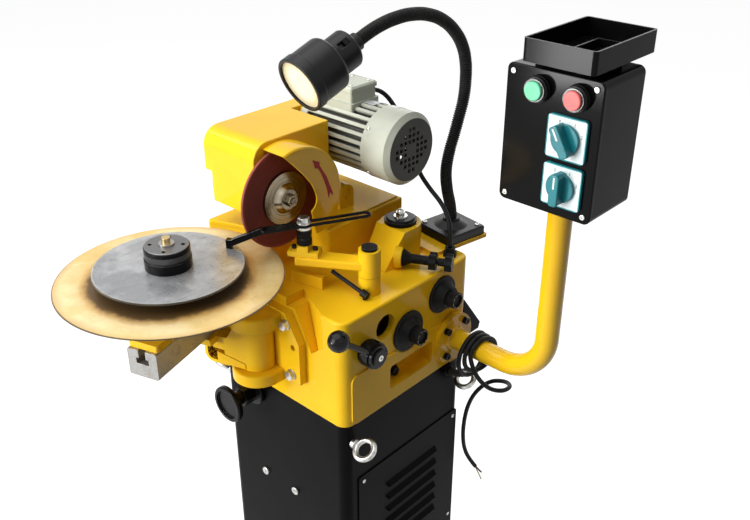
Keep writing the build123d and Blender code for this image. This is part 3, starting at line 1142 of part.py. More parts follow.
plain = (
    cabinet, cabinet_covers, zinc_fasteners, eyebolts, main_body, stroke_cap, cable_glands, head_base,
    head_frame, spindle_bearings, belt_cover, wheel_guard, spindle, grinding_wheel, wheel_flanges,
    drive_belt, motor_body, motor_cowl, motor_rotor, carrier_bracket, swivel_arm, slide_bar,
    slide_block, arbour, saw_blade, index_plate, hub_nut, link_arm, link_shaft, pawl_block, pawl,
    black_hardware, camshaft, lift_rod, feed_gearmotor, ball_lever, lock_knob, stroke_screw, hand_knob,
    control_arm, control_box, control_lid, button_housings, switch_plates, parts_tray, lamp_base,
    gooseneck, lamp_head, lamp_lens, lamp_switch, motor_cable, mains_cable,
)
made = {make.__name__: make() for make in plain}
made["spindle_pulley"] = pulley(spindle_pulley_r, wheel_bore_r, wheel_y, wheel_z)
made["motor_pulley"] = pulley(motor_pulley_r, bearing_r / 2 - run_fit, motor_y, motor_z)
made["lower_dial_knob"] = dial_knob(low_dial, dial_flange_r[0], dial_cone_l[0])
made["upper_dial_knob"] = dial_knob(high_dial, dial_flange_r[1], dial_cone_l[1])
made["green_button"] = button(button_x[0])
made["red_button"] = button(button_x[1])
made["upper_switch_knob"] = switch_knob(switch_z[0], switch_turn[0])
made["lower_switch_knob"] = switch_knob(switch_z[1], switch_turn[1])

os.makedirs("parts", exist_ok=True)
for name, part in made.items():
    part.label = name
    export_step(part, "parts/" + name + ".step")
print("nodes", len(made), "blade centre", round(blade_c.X, 1), round(blade_c.Y, 1))
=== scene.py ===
from math import cos, pi, radians, sin

import bmesh
import bpy
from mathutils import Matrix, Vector


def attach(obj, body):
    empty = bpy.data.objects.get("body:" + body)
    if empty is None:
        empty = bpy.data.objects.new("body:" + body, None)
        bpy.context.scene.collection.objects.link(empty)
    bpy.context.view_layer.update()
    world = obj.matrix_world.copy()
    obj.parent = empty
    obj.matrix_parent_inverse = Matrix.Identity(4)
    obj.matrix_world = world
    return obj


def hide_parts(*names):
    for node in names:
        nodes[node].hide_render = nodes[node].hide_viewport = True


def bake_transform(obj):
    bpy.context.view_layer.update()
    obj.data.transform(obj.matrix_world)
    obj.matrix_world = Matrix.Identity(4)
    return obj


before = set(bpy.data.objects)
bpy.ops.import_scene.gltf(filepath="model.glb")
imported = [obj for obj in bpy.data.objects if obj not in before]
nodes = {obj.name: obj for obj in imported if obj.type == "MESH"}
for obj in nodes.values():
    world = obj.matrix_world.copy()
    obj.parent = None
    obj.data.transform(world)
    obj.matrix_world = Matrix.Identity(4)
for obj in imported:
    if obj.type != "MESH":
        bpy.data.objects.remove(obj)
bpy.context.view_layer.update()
print("frame loaded,", len(nodes), "nodes")


class Wire:  # a socket that can be used in sums
    def __init__(self, graph, socket):
        self.graph = graph
        self.socket = socket

    def maths(self, operation, *values):
        return self.graph.node("ShaderNodeMath", {"operation": operation}, dict(enumerate(values)))

    def __add__(self, other):
        return self.maths("ADD", self, other)

    def __sub__(self, other):
        return self.maths("SUBTRACT", self, other)

    def __rsub__(self, other):
        return self.maths("SUBTRACT", other, self)

    def __mul__(self, other):
        return self.maths("MULTIPLY", self, other)

    def __pow__(self, other):
        return self.maths("POWER", self, other)

    def __gt__(self, other):
        return self.maths("GREATER_THAN", self, other)

    def __lt__(self, other):
        return self.maths("LESS_THAN", self, other)

    def __abs__(self):
        return self.maths("ABSOLUTE", self)

    __radd__ = __add__
    __rmul__ = __mul__


class Graph:  # the nodes of a material or of the world
    def __init__(self, tree):
        self.tree = tree

    def feed(self, made, sockets):
        for key, value in sockets.items():
            socket = made.inputs[key]
            if isinstance(value, Wire):
                self.tree.links.new(value.socket, socket)
            elif socket.type == "RGBA" and len(value) == 3:
                socket.default_value = (*value, 1.0)
            else:
                socket.default_value = value

    def node(self, kind, settings, sockets, output=0):
        made = self.tree.nodes.new(kind)
        for key, value in settings.items():
            setattr(made, key, value)
        self.feed(made, sockets)
        return Wire(self, made.outputs[output])

    def ramp(self, value, low, high, a=0.0, b=1.0):
        settings = {"interpolation_type": "SMOOTHSTEP"}
        return self.node("ShaderNodeMapRange", settings, {0: value, 1: low, 2: high, 3: a, 4: b})

    def seen(self):  # 1 for rays from the lens, off gloss and through glass
        kinds = ("Is Camera Ray", "Is Glossy Ray", "Is Transmission Ray")
        return sum(self.node("ShaderNodeLightPath", {}, {}, kind) for kind in kinds)


class Finish(Graph):  # a material and the patterns that feed it
    def __init__(self, name, look):
        self.material = bpy.data.materials.new(name)
        self.material.use_nodes = True
        super().__init__(self.material.node_tree)
        self.shader = self.tree.nodes["Principled BSDF"]
        self.feed(self.shader, look)
        self.spot = self.node("ShaderNodeTexCoord", {}, {}, "Object")  # metres, from the middle of the cabinet's base
        self.axes = [self.node("ShaderNodeSeparateXYZ", {}, {0: self.spot}, i) for i in range(3)]

    def look(self, **sockets):
        self.feed(self.shader, {key.replace("_", " "): value for key, value in sockets.items()})
        return self.material

    def noise(self, scale, detail=3.0, rough=0.5, stretch=(1, 1, 1)):
        spot = self.node("ShaderNodeVectorMath", {"operation": "MULTIPLY"}, {0: self.spot, 1: stretch})
        sockets = {"Vector": spot, "Scale": scale, "Detail": detail, "Roughness": rough}
        return self.node("ShaderNodeTexNoise", {}, sockets)

    def rings(self, distance, scale, detail=3.0):  # marks that change only with distance, as turning leaves
        sockets = {"W": distance, "Scale": scale, "Detail": detail}
        return self.node("ShaderNodeTexNoise", {"noise_dimensions": "1D"}, sockets)

    def mix(self, share, a, b):
        return self.node("ShaderNodeMix", {"data_type": "RGBA"}, {0: share, 6: a, 7: b}, 2)

    def offsets(self, centre, along):  # how far a point is from an axis, both ways
        i, j = {"x": (1, 2), "y": (0, 2), "z": (0, 1)}[along]
        return self.axes[i] - centre[i], self.axes[j] - centre[j]

    def reach(self, centre, along):
        a, b = self.offsets(centre, along)
        return (a ** 2 + b ** 2) ** 0.5

    def turn(self, centre, along):  # angle round an axis
        a, b = self.offsets(centre, along)
        return a.maths("ARCTAN2", b, a)

    def wave(self, angle):
        return angle.maths("SINE", angle) * 0.5 + 0.5

    def local(self, at, degrees):  # distances along and across a piece that is turned about Z
        c, s = cos(radians(degrees)), sin(radians(degrees))
        x, y = self.axes[0] - at[0], self.axes[1] - at[1]
        return x * c + y * s, y * c - x * s

    def softEdge(self, radius):
        return self.node("ShaderNodeBevel", {"samples": 4}, {"Radius": radius})

    def edgeOf(self, soft):  # 0 on a flat face, rising at an edge
        plain = self.node("ShaderNodeNewGeometry", {}, {}, "Normal")
        return 1 - self.node("ShaderNodeVectorMath", {"operation": "DOT_PRODUCT"}, {0: soft, 1: plain}, "Value")

    def upright(self):  # 1 on walls, 0 on level faces
        plain = self.node("ShaderNodeNewGeometry", {}, {}, "True Normal")
        return self.ramp(abs(self.node("ShaderNodeSeparateXYZ", {}, {0: plain}, 2)), 0.8, 0.4)

    def bump(self, height, distance, normal):
        return self.node("ShaderNodeBump", {}, {"Height": height, "Distance": distance, "Normal": normal})


# Finishes

enamel = {
    "colour": (0.91, 0.555, 0.013), "deep": (0.86, 0.475, 0.008), "grime": (0.24, 0.115, 0.010),
    "chip": (0.09, 0.065, 0.03), "edge": 0.0016, "peel": 0.00005,
}
castPocket = {
    # spots is the near-black of the hollow's sand marks, partly painted shade
    "at": (-0.012, -0.188), "turn": 17.7, "spots": (0.030, 0.027, 0.008),
    "across": (-0.0862, -0.0300), "along": (-0.0197, -0.0050), "z": (0.7865, 0.8185),
}


def yellowEnamel(name, wave, coat, pocket=None):
    f = Finish(name, {"Coat Weight": coat, "Coat Roughness": 0.04, "Specular IOR Level": 0.06})
    soft = f.softEdge(enamel["edge"])
    edge = f.edgeOf(soft)
    colour = f.mix(f.ramp(f.noise(5, 4, 0.6), 0.35, 0.75), enamel["colour"], enamel["deep"])
    smear = f.ramp(f.noise(15, 6, 0.68), 0.62, 0.86) * 0.22
    colour = f.mix(smear, colour, enamel["grime"])
    specks = f.ramp(f.noise(260, 2, 0.5), 0.72, 0.77) * 0.35
    colour = f.mix(specks, colour, enamel["grime"])
    chips = f.ramp(edge * f.noise(120, 4, 0.7), 0.135, 0.165) * 0.8
    colour = f.mix(chips, colour, enamel["chip"])
    normal = f.bump(f.noise(22, 2, 0.5), wave, soft)
    normal = f.bump(f.noise(480, 2, 0.5), enamel["peel"], normal)
    if pocket:  # sand marks in the hollow end of the casting, with near-black spots that also paint shade into the hollow
        inside = 1.0
        for value, name in zip((*f.local(pocket["at"], pocket["turn"]), f.axes[2]), ("across", "along", "z")):
            inside = inside * (value > pocket[name][0]) * (value < pocket[name][1])
        sandAndShade = f.noise(260, 5, 0.75)
        colour = f.mix(inside * f.ramp(sandAndShade, 0.44, 0.54), colour, pocket["spots"])
        normal = f.bump(sandAndShade * inside, 0.0008, normal)
    return f.look(Base_Color=colour, Roughness=0.24 + smear * 0.6 + chips * 0.3, Normal=normal)


blackPaint = {"colour": (0.0032, 0.0032, 0.0033), "dust": (0.075, 0.070, 0.064), "edge": 0.0015}


def blackEnamel(name, look, gloss, peel, dust):
    f = Finish(name, look)
    soft = f.softEdge(blackPaint["edge"])
    edge = f.edgeOf(soft)
    film = f.ramp(f.noise(7, 6, 0.65), 0.45, 0.85) * dust
    motes = f.ramp(f.noise(340, 2, 0.5), 0.70, 0.76) * dust * 2.0
    rubs = f.ramp(f.noise(30, 5, 0.7, (1, 1, 0.12)), 0.64, 0.73) * dust
    worn = f.ramp(edge * f.noise(110, 4, 0.7), 0.11, 0.17) * 0.5
    colour = f.mix(film + motes + rubs, blackPaint["colour"], blackPaint["dust"])
    colour = f.mix(worn, colour, blackPaint["dust"])
    normal = f.bump(f.noise(14, 2, 0.5), peel * 6, soft)
    normal = f.bump(f.noise(420, 2, 0.5), peel, normal)
    return f.look(Base_Color=colour, Roughness=gloss + film * 0.8 + rubs * 0.6, Normal=normal)


motorPaint = {
    "colour": (0.53, 0.55, 0.455), "deep": (0.44, 0.455, 0.375), "grime": (0.10, 0.095, 0.075), "edge": 0.0012,
}


def greyEnamel(name, disc=None, fins=None):
    f = Finish(name, {"Specular IOR Level": 0.22, "Coat Roughness": 0.15})
    coat = 0.2
    soft = f.softEdge(motorPaint["edge"])
    edge = f.edgeOf(soft)
    colour = f.mix(f.ramp(f.noise(12, 4, 0.6), 0.35, 0.75), motorPaint["colour"], motorPaint["deep"])
    colour = f.mix(f.ramp(f.noise(60, 5, 0.7), 0.60, 0.82) * 0.35, colour, motorPaint["grime"])
    colour = f.mix(f.ramp(edge * f.noise(150, 4, 0.7), 0.13, 0.18) * 0.7, colour, (0.22, 0.21, 0.19))
    if disc:  # painted shade: the flat end of the cowl is painted near black, mottled a little lighter
        share = (f.axes[0] > disc["x"]) * (f.reach(disc["axis"], "x") < disc["r"])
        colour = f.mix(share, colour, f.mix(f.noise(45, 5, 0.7), disc["colour"], disc["dust"]))
        coat = 0.2 - share * 0.2
    if fins:  # painted shade deep between the fins
        (left, right), (low, high) = fins["x"], fins["r"]
        share = (f.axes[0] > left) * (f.axes[0] < right) * f.ramp(f.reach(fins["axis"], "x"), high, low)
        colour = f.mix(share, colour, fins["colour"])
        coat = 0.2 - share * 0.2
    normal = f.bump(f.noise(330, 3, 0.6), 0.00012, soft)
    return f.look(Base_Color=colour, Roughness=0.42 + f.noise(40, 3) * 0.15, Coat_Weight=coat, Normal=normal)


zincPlate = {"colour": (0.56, 0.56, 0.54), "dull": (0.26, 0.255, 0.24), "edge": 0.0007}


def brightZinc(name):
    f = Finish(name, {"Metallic": 1.0})
    soft = f.softEdge(zincPlate["edge"])
    cloud = f.noise(90, 5, 0.65)
    colour = f.mix(f.ramp(cloud, 0.42, 0.70), zincPlate["colour"], zincPlate["dull"])
    normal = f.bump(f.noise(700, 2, 0.5), 0.00003, soft)
    return f.look(Base_Color=colour, Roughness=0.18 + cloud * 0.22, Normal=normal)


def turnedMetal(name, colour, dark, centre, along, rough, pitch=2200, tip=None):
    f = Finish(name, {"Metallic": 1.0})
    soft = f.softEdge(0.0008)
    r = f.reach(centre, along)
    marks = f.rings(r, pitch, 2)
    stain = f.ramp(f.noise(26, 6, 0.7), 0.50, 0.80)
    shade = f.mix(f.ramp(f.rings(r, pitch * 0.12), 0.4, 0.7) * 0.6 + stain * 0.4, colour, dark)
    if tip:  # the end of the stud is brass
        shade = f.mix(f.axes[2] > tip["z"], shade, f.mix(stain, tip["colour"], tip["dark"]))
    normal = f.bump(marks, 0.00004, soft)
    return f.look(Base_Color=shade, Roughness=rough + marks * 0.16 + stain * 0.15, Normal=normal)


def blackOxide(name, gloss=0.32, wear=0.6, knurl=None, plated=None):
    f = Finish(name, {"Specular IOR Level": 0.1})
    soft = f.softEdge(0.0011)
    edge = f.edgeOf(soft)
    rub = f.ramp(f.noise(45, 6, 0.7), 0.55, 0.78)
    bright = f.ramp(edge * f.noise(170, 4, 0.7), 0.06, 0.15) * wear
    colour = f.mix(rub * 0.5, (0.0085, 0.0085, 0.0092), (0.034, 0.032, 0.029))
    colour = f.mix(bright, colour, (0.26, 0.245, 0.22))
    normal = f.bump(f.noise(520, 3, 0.6), 0.00006, soft)
    metal, rough = 0.7, gloss + rub * 0.22
    if knurl:  # crossed ridges round a nut
        angle = f.turn(knurl["centre"], "z") * knurl["count"]
        slope = f.axes[2] * knurl["slope"]
        band = (f.axes[2] > knurl["z"][0]) * (f.axes[2] < knurl["z"][1]) * (f.reach(knurl["centre"], "z") > knurl["r"])
        ridges = f.wave(angle + slope) * f.wave(angle - slope) * band
        normal = f.bump(ridges, 0.0007, normal)
        colour = f.mix(ridges * 0.75, colour, (0.30, 0.295, 0.29))
        # the nut's top face is painted lighter: partly wear, partly painted sheen from light above
        colour = f.mix((f.axes[2] > knurl["top"]) * (0.55 + rub * 0.45), colour, (0.33, 0.325, 0.325))
    if plated:  # a plated nut on the black piece
        share = f.axes[plated["axis"]] > plated["level"]
        colour = f.mix(share, colour, zincPlate["colour"])
        metal, rough = share * 0.3 + 0.7, rough - share * 0.12
    return f.look(Base_Color=colour, Metallic=metal, Roughness=rough, Normal=normal)


def ballLacquer(name):  # the lever's hub and its shining ball
    f = Finish(name, {"Coat Weight": 0.25, "Coat Roughness": 0.02, "Specular IOR Level": 0.05})
    soft = f.softEdge(0.0010)
    cloud = f.noise(50, 5, 0.65)
    colour = f.mix(f.ramp(cloud, 0.45, 0.75), (0.0045, 0.0045, 0.0048), (0.014, 0.0135, 0.013))
    colour = f.mix(f.ramp(f.edgeOf(soft) * f.noise(170, 4, 0.7), 0.08, 0.16) * 0.4, colour, (0.11, 0.105, 0.095))
    normal = f.bump(f.noise(380, 2, 0.5), 0.00002, soft)
    return f.look(Base_Color=colour, Roughness=0.14 + cloud * 0.10, Normal=normal)


def groundIron(name):
    f = Finish(name, {"Metallic": 0.7})
    soft = f.softEdge(0.0010)
    pits = f.ramp(f.noise(620, 3, 0.65), 0.55, 0.66)
    rust = f.ramp(f.noise(34, 6, 0.72), 0.50, 0.76)
    lay = f.noise(240, 3, 0.6, (1, 0.06, 1))
    colour = f.mix(rust * 0.6, (0.34, 0.335, 0.32), (0.15, 0.105, 0.070))
    colour = f.mix(pits * 0.7, colour, (0.075, 0.070, 0.065))
    normal = f.bump(pits * -0.5 + lay * 0.5, 0.00014, soft)
    return f.look(Base_Color=colour, Roughness=0.40 + rust * 0.25 + pits * 0.2, Normal=normal)


bladeGold = {
    "rim": (0.78, 0.56, 0.215), "web": (0.60, 0.37, 0.095), "stain": (0.24, 0.125, 0.034), "pale": (0.92, 0.75, 0.42),
    # the darkest brown round the plate is oil stain with painted contact shadow
    "oilShadow": (0.045, 0.021, 0.006), "burnt": (0.50, 0.25, 0.055), "toothWallShade": (0.030, 0.017, 0.008),
    "webR": (0.160, 0.112), "borderR": (0.157, 0.145), "oilShadowR": (0.148, 0.135), "burntR": (0.168, 0.184),
}


def goldBlade(name, centre):
    f = Finish(name, {"Metallic": 0.42})
    r = f.reach(centre, "z")
    web = f.ramp(r, *bladeGold["webR"])
    streak = f.rings(r, 900, 4)
    cloud = f.noise(16, 7, 0.68)
    patch = f.ramp(f.noise(9, 5, 0.6), 0.42, 0.66)
    colour = f.mix(patch, bladeGold["rim"], bladeGold["pale"])
    colour = f.mix(web * 0.6 + f.ramp(cloud, 0.45, 0.75) * 0.35, colour, bladeGold["web"])
    stain = f.ramp(f.noise(34, 6, 0.75), 0.56, 0.80) * (0.25 + web * 0.55)
    colour = f.mix(stain, colour, bladeGold["stain"])
    colour = f.mix(f.ramp(streak, 0.50, 0.75) * 0.25, colour, bladeGold["pale"])
    spots = f.ramp(f.noise(150, 4, 0.75), 0.66, 0.74) * f.ramp(cloud, 0.50, 0.62)
    colour = f.mix(spots * 0.5, colour, bladeGold["stain"])
    spread = r + cloud * 0.036  # oil creeps out from under the plate, brown at its border, with painted contact shadow darkest next to the plate
    colour = f.mix(f.ramp(spread, *bladeGold["borderR"]) * 0.6, colour, bladeGold["burnt"])
    colour = f.mix(f.ramp(spread, *bladeGold["oilShadowR"]) * 0.88, colour, bladeGold["oilShadow"])
    colour = f.mix(f.ramp(r + patch * 0.012, *bladeGold["burntR"]) * 0.45, colour, bladeGold["burnt"])
    # painted shade on the upright walls of the teeth and rim
    colour = f.mix(f.upright() * 0.9, colour, bladeGold["toothWallShade"])
    normal = f.bump(streak, 0.00003, f.softEdge(0.0005))
    return f.look(Base_Color=colour, Roughness=0.36 + streak * 0.12 + stain * 0.25, Normal=normal)


def scuffedSteel(name, centre):
    f = Finish(name, {"Metallic": 0.5})
    soft = f.softEdge(0.0006)
    scale = f.ramp(f.noise(20, 7, 0.7), 0.40, 0.70)
    draw = f.ramp(f.noise(60, 5, 0.65, (1, 0.10, 1)), 0.50, 0.72)
    scrape = f.ramp(f.noise(95, 3, 0.6, (0.12, 1, 1)), 0.71, 0.75)
    colour = f.mix(scale, (0.31, 0.315, 0.325), (0.50, 0.505, 0.51))
    colour = f.mix(draw * 0.45, colour, (0.17, 0.175, 0.185))
    colour = f.mix(scrape * 0.6, colour, (0.68, 0.68, 0.67))
    rim = f.ramp(f.reach(centre, "z"), 0.1115, 0.1135)
    colour = f.mix(rim * 0.6, colour, (0.56, 0.555, 0.54))
    colour = f.mix(f.upright() * 0.75, colour, (0.10, 0.10, 0.10))
    normal = f.bump(f.noise(420, 4, 0.65), 0.00006, soft)
    return f.look(Base_Color=colour, Roughness=0.27 + scale * 0.14 - scrape * 0.1, Normal=normal)


def abrasiveGrit(name, axis):
    f = Finish(name, {"Specular IOR Level": 0.25})
    grain = f.noise(1500, 3, 0.7)
    r = f.reach(axis, "x")
    colour = f.mix(f.ramp(grain, 0.35, 0.72), (0.125, 0.026, 0.023), (0.25, 0.054, 0.045))
    colour = f.mix(f.ramp(f.noise(900, 2), 0.66, 0.72) * 0.6, colour, (0.45, 0.20, 0.16))
    colour = f.mix(f.ramp(r, 0.079, 0.0845) * 0.5, colour, (0.38, 0.10, 0.075))
    normal = f.bump(grain, 0.00030, f.softEdge(0.0008))
    return f.look(Base_Color=colour, Roughness=0.80 + grain * 0.15, Normal=normal)


def mouldedPlastic(name, colour, shade, rough, grain=0.00005, edge=0.0010, gloss=0.4):
    f = Finish(name, {"Specular IOR Level": gloss})
    soft = f.softEdge(edge)
    rim = f.edgeOf(soft)
    cloud = f.noise(35, 5, 0.65)
    tint = f.mix(f.ramp(cloud, 0.42, 0.75), colour, shade)
    pale = tuple(min(1.0, c * 1.5 + 0.03) for c in colour)
    tint = f.mix(f.ramp(rim * f.noise(200, 3, 0.7), 0.05, 0.14) * 0.5, tint, pale)
    normal = f.bump(f.noise(900, 2, 0.5), grain, soft)
    return f.look(Base_Color=tint, Roughness=rough + cloud * 0.12, Normal=normal)


darkPlastic = {"colour": (0.0050, 0.0050, 0.0050), "shade": (0.013, 0.0125, 0.012), "mark": (0.34, 0.335, 0.32)}
dialMarks = {  # depth behind the tip, then radii
    "ring": (0.0012, 0.0114, 0.0131), "dish": (0.0034, 0.0046, 0.0086),
    "grip": (0.0145, 0.0020), "gripR": 0.0138, "ridges": 44,
}


def dialPlastic(name, axis, face):  # face is where the tip ends; its ring and dish carry rubbed marks
    f = Finish(name, {"Specular IOR Level": 0.09})
    soft = f.softEdge(0.0010)
    x, r, angle = f.axes[0], f.reach(axis, "x"), f.turn(axis, "x")
    cloud = f.noise(60, 5, 0.65)
    colour = f.mix(f.ramp(cloud, 0.40, 0.75), darkPlastic["colour"], darkPlastic["shade"])
    dust = f.ramp(f.noise(300, 3, 0.7), 0.60, 0.75) * 0.25
    colour = f.mix(dust, colour, (0.07, 0.066, 0.062))

    def band(depth, inner, outer):
        return (x > face - depth) * (r > inner) * (r < outer)

    ring = band(*dialMarks["ring"]) * f.ramp(f.wave(angle * 9 + cloud * 6), 0.25, 0.45)
    dish = band(*dialMarks["dish"]) * f.ramp(f.wave(angle * 6 + cloud * 9), 0.55, 0.70)
    colour = f.mix(ring * 0.9 + dish * 0.6, colour, darkPlastic["mark"])
    low, high = dialMarks["grip"]
    grip = f.wave(angle * dialMarks["ridges"]) * (x > face - low) * (x < face - high) * (r > dialMarks["gripR"])
    normal = f.bump(grip, 0.0006, soft)
    normal = f.bump(f.noise(900, 2, 0.5), 0.00005, normal)
    return f.look(Base_Color=colour, Roughness=0.42 + cloud * 0.15 - ring * 0.15, Normal=normal)


def bezelPlastic(name, front):  # the push buttons' collars, with a grey ring in front
    f = Finish(name, {"Specular IOR Level": 0.3})
    soft = f.softEdge(0.0008)
    cloud = f.noise(60, 5, 0.65)
    ring = f.axes[1] < front
    colour = f.mix(f.ramp(cloud, 0.40, 0.75), darkPlastic["colour"], darkPlastic["shade"])
    colour = f.mix(ring, colour, f.mix(f.ramp(cloud, 0.4, 0.7), (0.115, 0.118, 0.115), (0.060, 0.060, 0.058)))
    normal = f.bump(f.noise(900, 2, 0.5), 0.00004, soft)
    return f.look(Base_Color=colour, Metallic=ring * 0.7, Roughness=0.34 + cloud * 0.12 - ring * 0.1, Normal=normal)


switchFace = {
    "x": 0.392, "z": (1.225, 1.156), "front": 0.0334, "half": 0.0288,
    "face": (0.76, 0.83, 0.84), "rim": (0.010, 0.25, 0.28),
}


def switchPlastic(name):  # a pale face with a teal border
    f = Finish(name, {"Specular IOR Level": 0.4})
    soft = f.softEdge(0.0008)
    x, y, z = f.axes
    cloud = f.noise(70, 5, 0.65)
    low = abs(z - switchFace["z"][0])
    off = low.maths("MAXIMUM", low.maths("MINIMUM", low, abs(z - switchFace["z"][1])), abs(x - switchFace["x"]))
    rim = 1 - (off < switchFace["half"]) * (y < switchFace["front"])
    face = f.mix(f.ramp(cloud, 0.40, 0.78), switchFace["face"], (0.62, 0.70, 0.715))
    face = f.mix(f.ramp(f.noise(420, 4, 0.7), 0.62, 0.72) * 0.35, face, (0.22, 0.24, 0.25))
    colour = f.mix(rim, face, switchFace["rim"])
    normal = f.bump(f.noise(900, 2, 0.5), 0.00004, soft)
    return f.look(Base_Color=colour, Roughness=0.32 + cloud * 0.14, Normal=normal)


tealHandle = {
    "x": 0.392, "top": 0.0134, "half": 0.0013, "along": (0.0030, 0.0200),
    "colour": (0.006, 0.185, 0.215), "shade": (0.004, 0.130, 0.155), "stripe": (0.72, 0.76, 0.75),
}


def handlePlastic(name, z, degrees):  # a teal handle with a pale pointer along its top
    f = Finish(name, {"Specular IOR Level": 0.4})
    soft = f.softEdge(0.0010)
    c, s = cos(radians(degrees)), sin(radians(degrees))
    right, up = f.offsets((tealHandle["x"], 0.0, z), "y")
    along, across = up * c - right * s, right * c + up * s
    cloud = f.noise(35, 5, 0.65)
    colour = f.mix(f.ramp(cloud, 0.42, 0.75), tealHandle["colour"], tealHandle["shade"])
    near, far = tealHandle["along"]
    stripe = (f.axes[1] < tealHandle["top"]) * (abs(across) < tealHandle["half"]) * (along > near) * (along < far)
    colour = f.mix(stripe, colour, tealHandle["stripe"])
    normal = f.bump(f.noise(900, 2, 0.5), 0.00005, soft)
    return f.look(Base_Color=colour, Roughness=0.25 + cloud * 0.12, Normal=normal)


def lampGlass(name, centre):  # ribbed glass over a warm reflector
    f = Finish(name, {"Specular IOR Level": 0.5, "Emission Strength": 0.16})
    r = f.node("ShaderNodeVectorMath", {"operation": "DISTANCE"}, {0: f.spot, 1: centre}, "Value")
    ribs = f.wave(r * 2600)
    colour = f.mix(f.ramp(r, 0.020, 0.036), (0.86, 0.80, 0.58), (0.60, 0.50, 0.30))
    colour = f.mix(f.ramp(f.noise(60, 5, 0.7), 0.5, 0.8) * 0.4, colour, (0.62, 0.53, 0.34))
    plain = f.node("ShaderNodeNewGeometry", {}, {}, "Normal")
    normal = f.bump(ribs, 0.00015, plain)
    return f.look(Base_Color=colour, Emission_Color=colour, Roughness=0.18 + ribs * 0.08, Normal=normal)


def cableSheath(name):
    f = Finish(name, {"Specular IOR Level": 0.12})
    cloud = f.noise(60, 4, 0.6)
    colour = f.mix(f.ramp(cloud, 0.45, 0.75), (0.006, 0.006, 0.0065), (0.018, 0.0175, 0.017))
    grain = f.noise(900, 2, 0.5)
    normal = f.bump(grain, 0.00008, f.node("ShaderNodeNewGeometry", {}, {}, "Normal"))
    return f.look(Base_Color=colour, Roughness=0.34 + cloud * 0.2, Normal=normal)


def rubber(name):
    f = Finish(name, {"Specular IOR Level": 0.3})
    cloud = f.noise(70, 4, 0.6)
    colour = f.mix(cloud, (0.010, 0.010, 0.010), (0.040, 0.038, 0.035))
    normal = f.bump(f.noise(800, 3, 0.6), 0.0001, f.softEdge(0.0008))
    return f.look(Base_Color=colour, Roughness=0.7 + cloud * 0.15, Normal=normal)


def brushedRed(name):  # the arrow painted on the guard by hand
    f = Finish(name, {"Specular IOR Level": 0.3})
    drag = f.noise(160, 5, 0.7, (1, 1, 0.25))
    colour = f.mix(f.ramp(drag, 0.38, 0.66), (0.42, 0.016, 0.014), (0.27, 0.010, 0.010))
    normal = f.bump(drag, 0.0001, f.node("ShaderNodeNewGeometry", {}, {}, "Normal"))
    return f.look(Base_Color=colour, Roughness=0.42 + drag * 0.15, Normal=normal)


print("finishes written")


# Places on the machine, in metres

wheelAxis = (0.0, -0.098, 1.0545)
motorAxis = (0.0, 0.080, 1.1145)
bladeCentre = (-0.0750, -0.2965, 0.972)
lowDial, highDial = (0.1915, -0.0075, 0.841), (0.1935, 0.080, 0.873)
pawlPost = (0.024, -0.107)
lensCentre = (0.0494, -0.1240, 1.2633)


def paint(material, *names):
    for name in names:
        for place in nodes[name].material_slots:
            place.material = material


teeBlock = {
    "turn": -148.6, "post": 0.9945, "screws": 0.9842, "screwsOut": 0.0096, "washers": 1.0216,
    "black": (0.016, 0.016, 0.016),
}


def pawlEnamel(name):  # the tee block with its black post, plated washers and black screws
    f = Finish(name, {"Coat Weight": 0.14, "Coat Roughness": 0.05, "Specular IOR Level": 0.12})
    soft = f.softEdge(0.0012)
    z = f.axes[2]
    along = f.local(pawlPost, teeBlock["turn"])[0]
    screws = (z > teeBlock["screws"]) * (abs(along) > teeBlock["screwsOut"])
    black = z.maths("MAXIMUM", z > teeBlock["post"], screws)
    zinc = z > teeBlock["washers"]
    cloud = f.noise(40, 5, 0.65)
    colour = f.mix(f.ramp(cloud, 0.4, 0.75), enamel["colour"], enamel["deep"])
    colour = f.mix(f.ramp(f.edgeOf(soft) * cloud, 0.14, 0.18), colour, enamel["chip"])
    colour = f.mix(black, colour, teeBlock["black"])
    colour = f.mix(zinc, colour, zincPlate["colour"])
    normal = f.bump(f.noise(300, 3, 0.5), 0.0001, soft)
    return f.look(Base_Color=colour, Metallic=zinc, Roughness=0.24 + cloud * 0.12, Normal=normal)


# above top the nut's face is painted lighter, partly wear and partly painted sheen
hubKnurl = {"centre": bladeCentre, "count": 90, "slope": 2600.0, "z": (1.0125, 1.0215), "r": 0.0335, "top": 1.0290}
# painted shade: the cowl's whole flat end is painted near black, as if in shade
cowlDiscShade = {"x": 0.0835, "r": 0.0525, "axis": motorAxis, "colour": (0.024, 0.024, 0.021), "dust": (0.060, 0.059, 0.051)}
# painted shade: dark colour deep in the gaps between the motor's fins
finGapShade = {"x": (-0.108, 0.027), "r": (0.0530, 0.0576), "axis": motorAxis, "colour": (0.060, 0.060, 0.051)}
studTip = {"z": 1.0329, "colour": (0.62, 0.47, 0.22), "dark": (0.36, 0.26, 0.11)}
cabinetLook = {"Specular IOR Level": 0.03, "Coat Weight": 0.0}
boxLook = {"Specular IOR Level": 0.02, "Coat Weight": 0.13, "Coat Roughness": 0.10}
trayLook = {"Specular IOR Level": 0.02, "Coat Weight": 0.12, "Coat Roughness": 0.13}
lampLook = {"Specular IOR Level": 0.22, "Coat Weight": 0.0}

